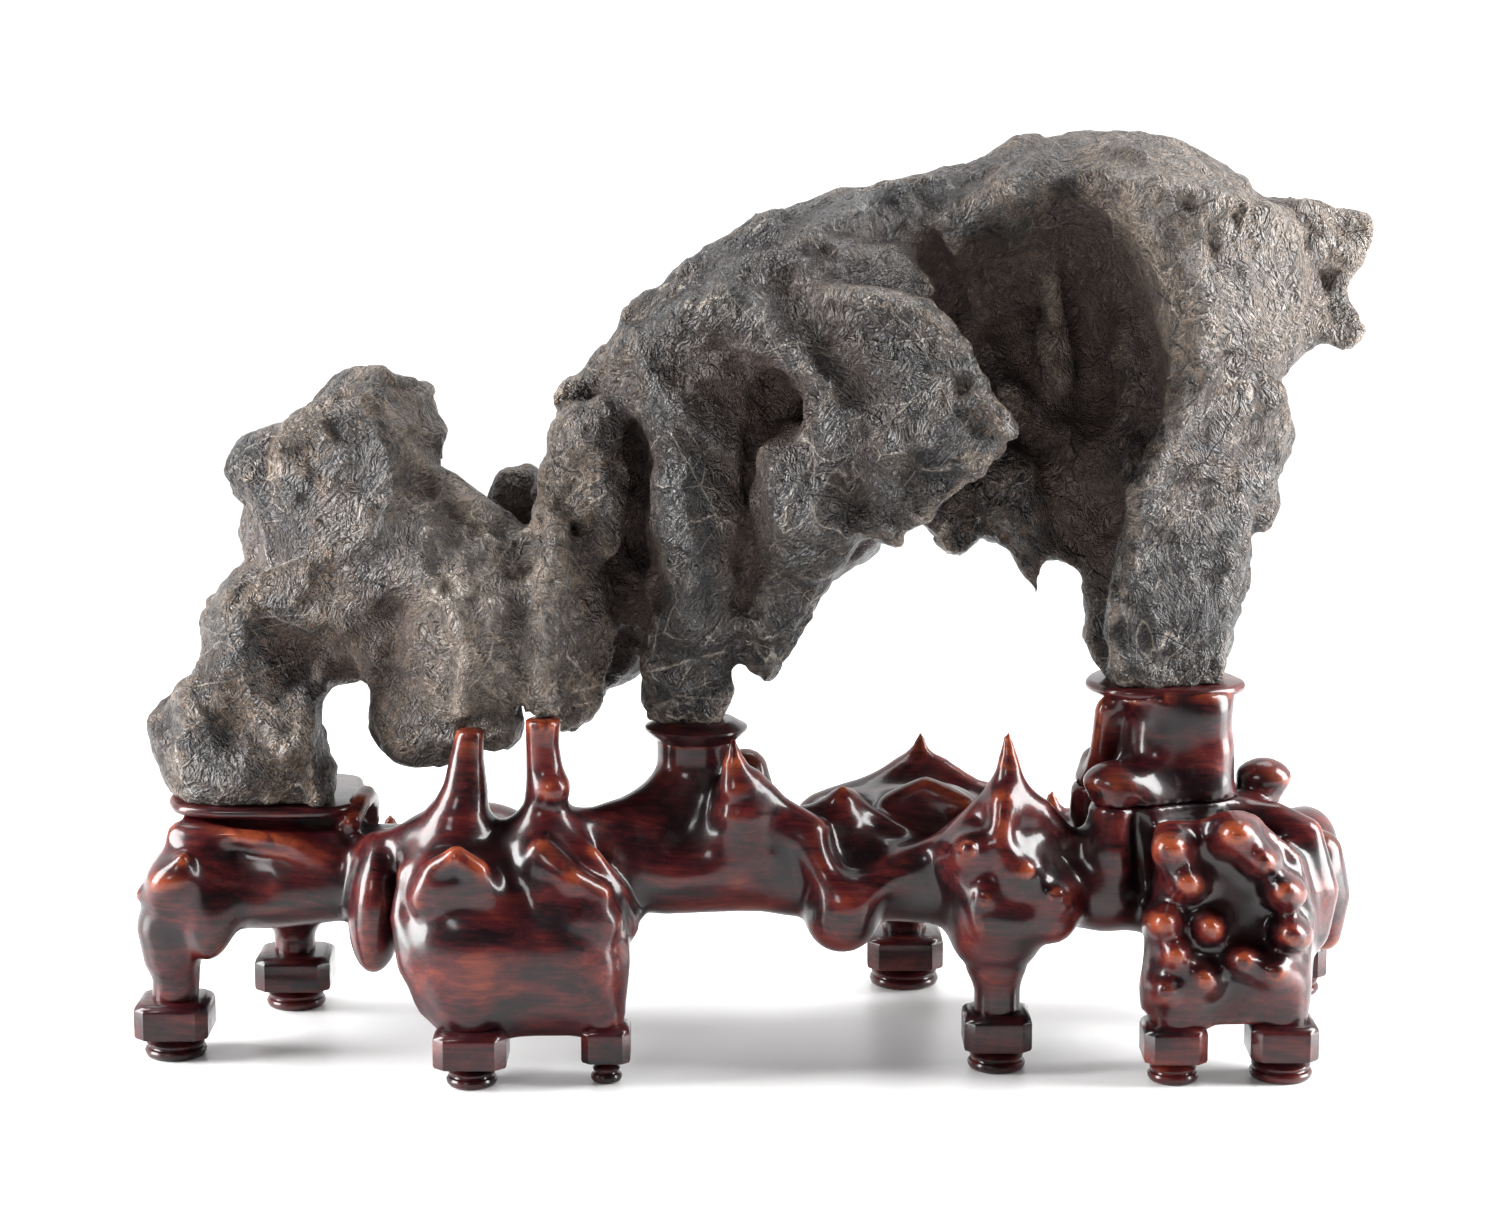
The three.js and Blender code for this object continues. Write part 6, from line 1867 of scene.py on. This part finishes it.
    def tower(self) -> None:
        """The tower for the stone's right foot."""
        profile = [(84, 34), (100, 28), (116, 25), (130, 23.5), (144, 23.5), (153, 27)]
        self.clay.add(Turned((176, -8), profile, deep=1.1, square=2.4), 10)
        self.limb([[150, -40, 120, 9], [153, -41, 112, 13], [151, -43, 94, 14], [147, -42, 74, 13]], 9)
        self.lump([149, -41, 122], [12, 11, 6], 8)
        self.lump([160, -34, 112], [13, 13, 12], 12)
        self.limb([[136, -38, 78, 12], [150, -38, 74, 12], [160, -38, 70, 10]], 10)
        self.pit([161, -60, 92], [4, 14, 20], 7, -6)
        self.lump([184, -28, 150], [12, 11, 9], 13)
        self.lump([187, -27, 134], [10, 11, 8], 13)
        self.lump([184, -30, 118], [13, 11, 10], 13)
        self.limb([[170, -31, 152, 6], [167, -32, 132, 6], [168, -35, 112, 8]], 11)
        self.groove([[178, -46, 154, 5], [177, -48, 138, 5], [176, -50, 124, 4]], 9)
        self.groove([[160, -42, 150, 4], [161, -44, 136, 4]], 8)
        self.limb([[146, -22, 152, 5], [144, -18, 134, 5], [142, -6, 118, 8]], 7)
        self.limb([[142, 0, 130, 7], [140, -2, 110, 9]], 8)

    def right_end(self) -> None:
        """The right end and its corner leg."""
        self.limb([[210, -12, 122, 8], [208, -12, 110, 9], [206, -12, 98, 14]], 11)
        self.lump([212, -12, 124], [10, 10, 6], 8)
        self.limb([[203, -28, 106, 9], [216, -32, 106, 7], [228, -34, 99, 8], [232, -34, 76, 11],
                   [230, -34, 60, 10]], 8)
        self.limb([[236, 2, 92, 8], [239, 2, 74, 9], [237, 2, 58, 8]], 8)
        self.lump([231, 8, 80], [11, 22, 22])
        self.leg([[241, 62, 20, 9], [241, 62, 32, 9], [240, 58, 54, 16], [232, 36, 74, 15]])

    def back_legs(self) -> None:
        """The back legs and the knobs behind."""
        self.leg([[-200.7, 41, 20, 9], [-200.7, 41, 32, 9], [-200, 40, 52, 15], [-198, 34, 70, 18]])
        self.leg([[69.6, 76, 20, 10], [69.6, 76, 32, 10], [69, 68, 52, 18], [68, 50, 70, 22]])
        for centre, radii in [
            [[70, 62, 98], [30, 22, 20]], [[-200, 42, 94], [26, 18, 18]], [[-112, 48, 96], [28, 20, 18]],
            [[150, 46, 100], [26, 18, 16]], [[229, 46, 94], [14, 22, 18]], [[-20, 40, 98], [24, 16, 16]],
        ]:
            self.lump(centre, radii, 10)
        for x, y, z, r in [
            [52, 80, 102, 7], [72, 84, 94, 8], [90, 76, 106, 7], [-214, 58, 98, 7], [-192, 60, 92, 7],
            [-126, 66, 100, 7], [-100, 66, 94, 8], [140, 62, 102, 7], [164, 62, 96, 7], [234, 64, 96, 7],
            [-30, 54, 102, 6], [222, 64, 104, 6],
        ]:
            self.lump([x, y, z], [r, r, r], 5)
        for x, y, z in [[-56, 40, 112], [124, 42, 116], [-148, 44, 106]]:
            self.limb([[x, y, z, 2], [x, y, z - 10, 6], [x, y, z - 24, 12]], 8)

    def cut(self) -> None:
        """Cuts the posts and the left end level."""
        for low, high in (
            ((-130, -90, SEATS.post_left), (-100, 0, 200)), ((-100, -90, SEATS.post_right), (-70, 0, 200)),
            ((-270, -60, SEATS.left - 2), (-168, 60, 200)), ((-280, -120, -40), (280, 120, 4)),
        ):
            self.clay.carve(Block(low, high), CUT_BLEND)

    def riser_space(self, gap: float) -> list[Block]:
        """Where the riser is, above the glued joint, drawn back by a gap.

        Args:
            gap: the gap in millimetres.

        Returns:
            The blocks that hold it.
        """
        return [
            Block((130, -56, SEATS.glue_line + gap), (205 - gap, 50, 141)),
            Block((118, -66, 140), (222, 50, 200)),
        ]

    def dress(self, obj: bpy.types.Object, node: Node, clay: Clay, material: bpy.types.Material) -> None:
        """Gives a carved piece its numbers and its finish.

        Args:
            obj: the self.
            node: the CAD node it stands for.
            clay: the clay it came from.
            material: its finish.
        """
        smooth(obj)
        places = places_of(obj)
        carry(obj, "hollow", clay.felt(places, self.hollow_reach))
        carry(obj, "crest", clay.felt(places, self.crest_reach))
        settle(obj, node, material)

    def build(self) -> None:
        """Works the clay, parts it at the glued joint and sets it on its feet."""
        for part in (
            self.body, self.left_leg, self.post_lobe, self.socket, self.rail, self.middle_leg,
            self.knobbed_lobe, self.tower, self.right_end, self.back_legs,
        ):
            part()
        self.cut()
        riser = Clay(self.low, self.high, self.cell)
        space = np.minimum(*[block.distance(*riser.spread()) for block in self.riser_space(SEATS.glue_gap)])
        riser.values = np.maximum(self.clay.values, space)
        materials = [self.finish.material(name) for name in ("stand_lacquer", "riser_lacquer")]
        self.dress(riser.skin("riser_body"), Node.RISER, self.clay, materials[1])
        whole = Clay(self.low, self.high, self.cell)
        whole.values = self.clay.values.copy()
        for block in self.riser_space(0):
            self.clay.carve(block, CUT_BLEND)
        self.dress(self.clay.skin("stand_body"), Node.STAND, whole, materials[0])
        self.feet.build(materials[0])
        self.seating.build(materials)


@dataclass(frozen=True)
class Lamp:
    """A soft lamp: its place and what it lights in metres, its width and height, and its power in watts."""

    name: str
    place: Point
    aim: Point
    size: tuple[float, float]
    power: float

    def build(self) -> None:
        """Makes the lamp and turns it to what it lights."""
        light = bpy.data.lights.new(self.name, "AREA")
        light.shape = "RECTANGLE"
        light.size, light.size_y = self.size
        light.energy = self.power
        lamp = bpy.data.objects.new(self.name, light)
        lamp.location = self.place
        lamp.rotation_euler = (Vector(self.aim) - Vector(self.place)).to_track_quat("-Z", "Y").to_euler()
        bpy.context.collection.objects.link(lamp)


@dataclass
class Studio:
    """The pale sweep, the soft lights and the camera."""

    floor: float = 5.0
    backdrop: float = 2.2
    glow: float = 1.3
    finish: FloorFinish = field(default_factory=FloorFinish)
    lamps: Sequence[Lamp] = (
        Lamp("left_box", (-1.3, -0.15, 0.6), (0, 0, 0.2), (0.6, 1.2), 62),
        Lamp("right_box", (1.3, 0.0, 0.65), (0, 0, 0.2), (0.7, 1.3), 75),
        Lamp("overhead", (-0.1, 0.6, 1.7), (0, 0, 0.1), (2.0, 0.7), 26),
        Lamp("front", (-1.0, -1.9, 1.2), (0, 0, 0.2), (0.5, 0.5), 10),
    )
    sky: float = 0.06

    def build(self) -> None:
        """Makes the studio."""
        self.sheet("pale_floor", Matrix.Identity(4), self.finish.material())
        upright = Matrix.Translation((0, self.backdrop, 0)) @ Matrix.Rotation(math.radians(90), 4, "X")
        self.sheet("pale_backdrop", upright, self.glowing())
        for lamp in self.lamps:
            lamp.build()
        world = bpy.data.worlds.new("pale_studio")
        world.use_nodes = True
        world.node_tree.nodes["Background"].inputs[0].default_value = (1, 1, 1, 1)
        world.node_tree.nodes["Background"].inputs[1].default_value = self.sky
        bpy.context.scene.world = world
        bpy.context.scene.view_settings.view_transform = "Standard"
        self.camera()

    def glowing(self) -> bpy.types.Material:
        """The backdrop's finish: plain white paper with the lamps behind it.

        Returns:
            The material.
        """
        material = bpy.data.materials.new("pale_backdrop")
        material.use_nodes = True
        shader = material.node_tree.nodes["Principled BSDF"]
        shader.inputs["Base Color"].default_value = (0, 0, 0, 1)
        shader.inputs["Emission Color"].default_value = (1, 1, 1, 1)
        shader.inputs["Emission Strength"].default_value = self.glow
        return material

    def sheet(self, name: str, place: Matrix, material: bpy.types.Material) -> None:
        """A plain sheet of the studio.

        Args:
            name: its name.
            place: where it is and how it is turned.
            material: its finish.
        """
        shape = bmesh.new()
        bmesh.ops.create_grid(shape, x_segments=1, y_segments=1, size=self.floor, matrix=place)
        mesh = bpy.data.meshes.new(name)
        shape.to_mesh(mesh)
        shape.free()
        mesh.materials.append(material)
        sheet = bpy.data.objects.new(name, mesh)
        bpy.context.collection.objects.link(sheet)

    def camera(self) -> None:
        """The camera where the photograph was taken from."""
        data = bpy.data.cameras.new("photograph")
        data.lens = EYE.lens
        data.sensor_width = EYE.sensor
        camera = bpy.data.objects.new("photograph", data)
        camera.location = (-CENTRE[0] * MM, (EYE.y - CENTRE[1]) * MM, EYE.z * MM)
        camera.rotation_euler = (math.radians(90 - EYE.pitch), 0, 0)
        bpy.context.collection.objects.link(camera)
        bpy.context.scene.camera = camera


def main() -> None:
    """Builds the stone, its stand and the studio, and notes the sizes."""
    logging.basicConfig(level=logging.INFO, format="%(name)s %(message)s")
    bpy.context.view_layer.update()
    Stone().build()
    Stand().build()
    Studio().build()


if __name__ == "__main__":
    main()
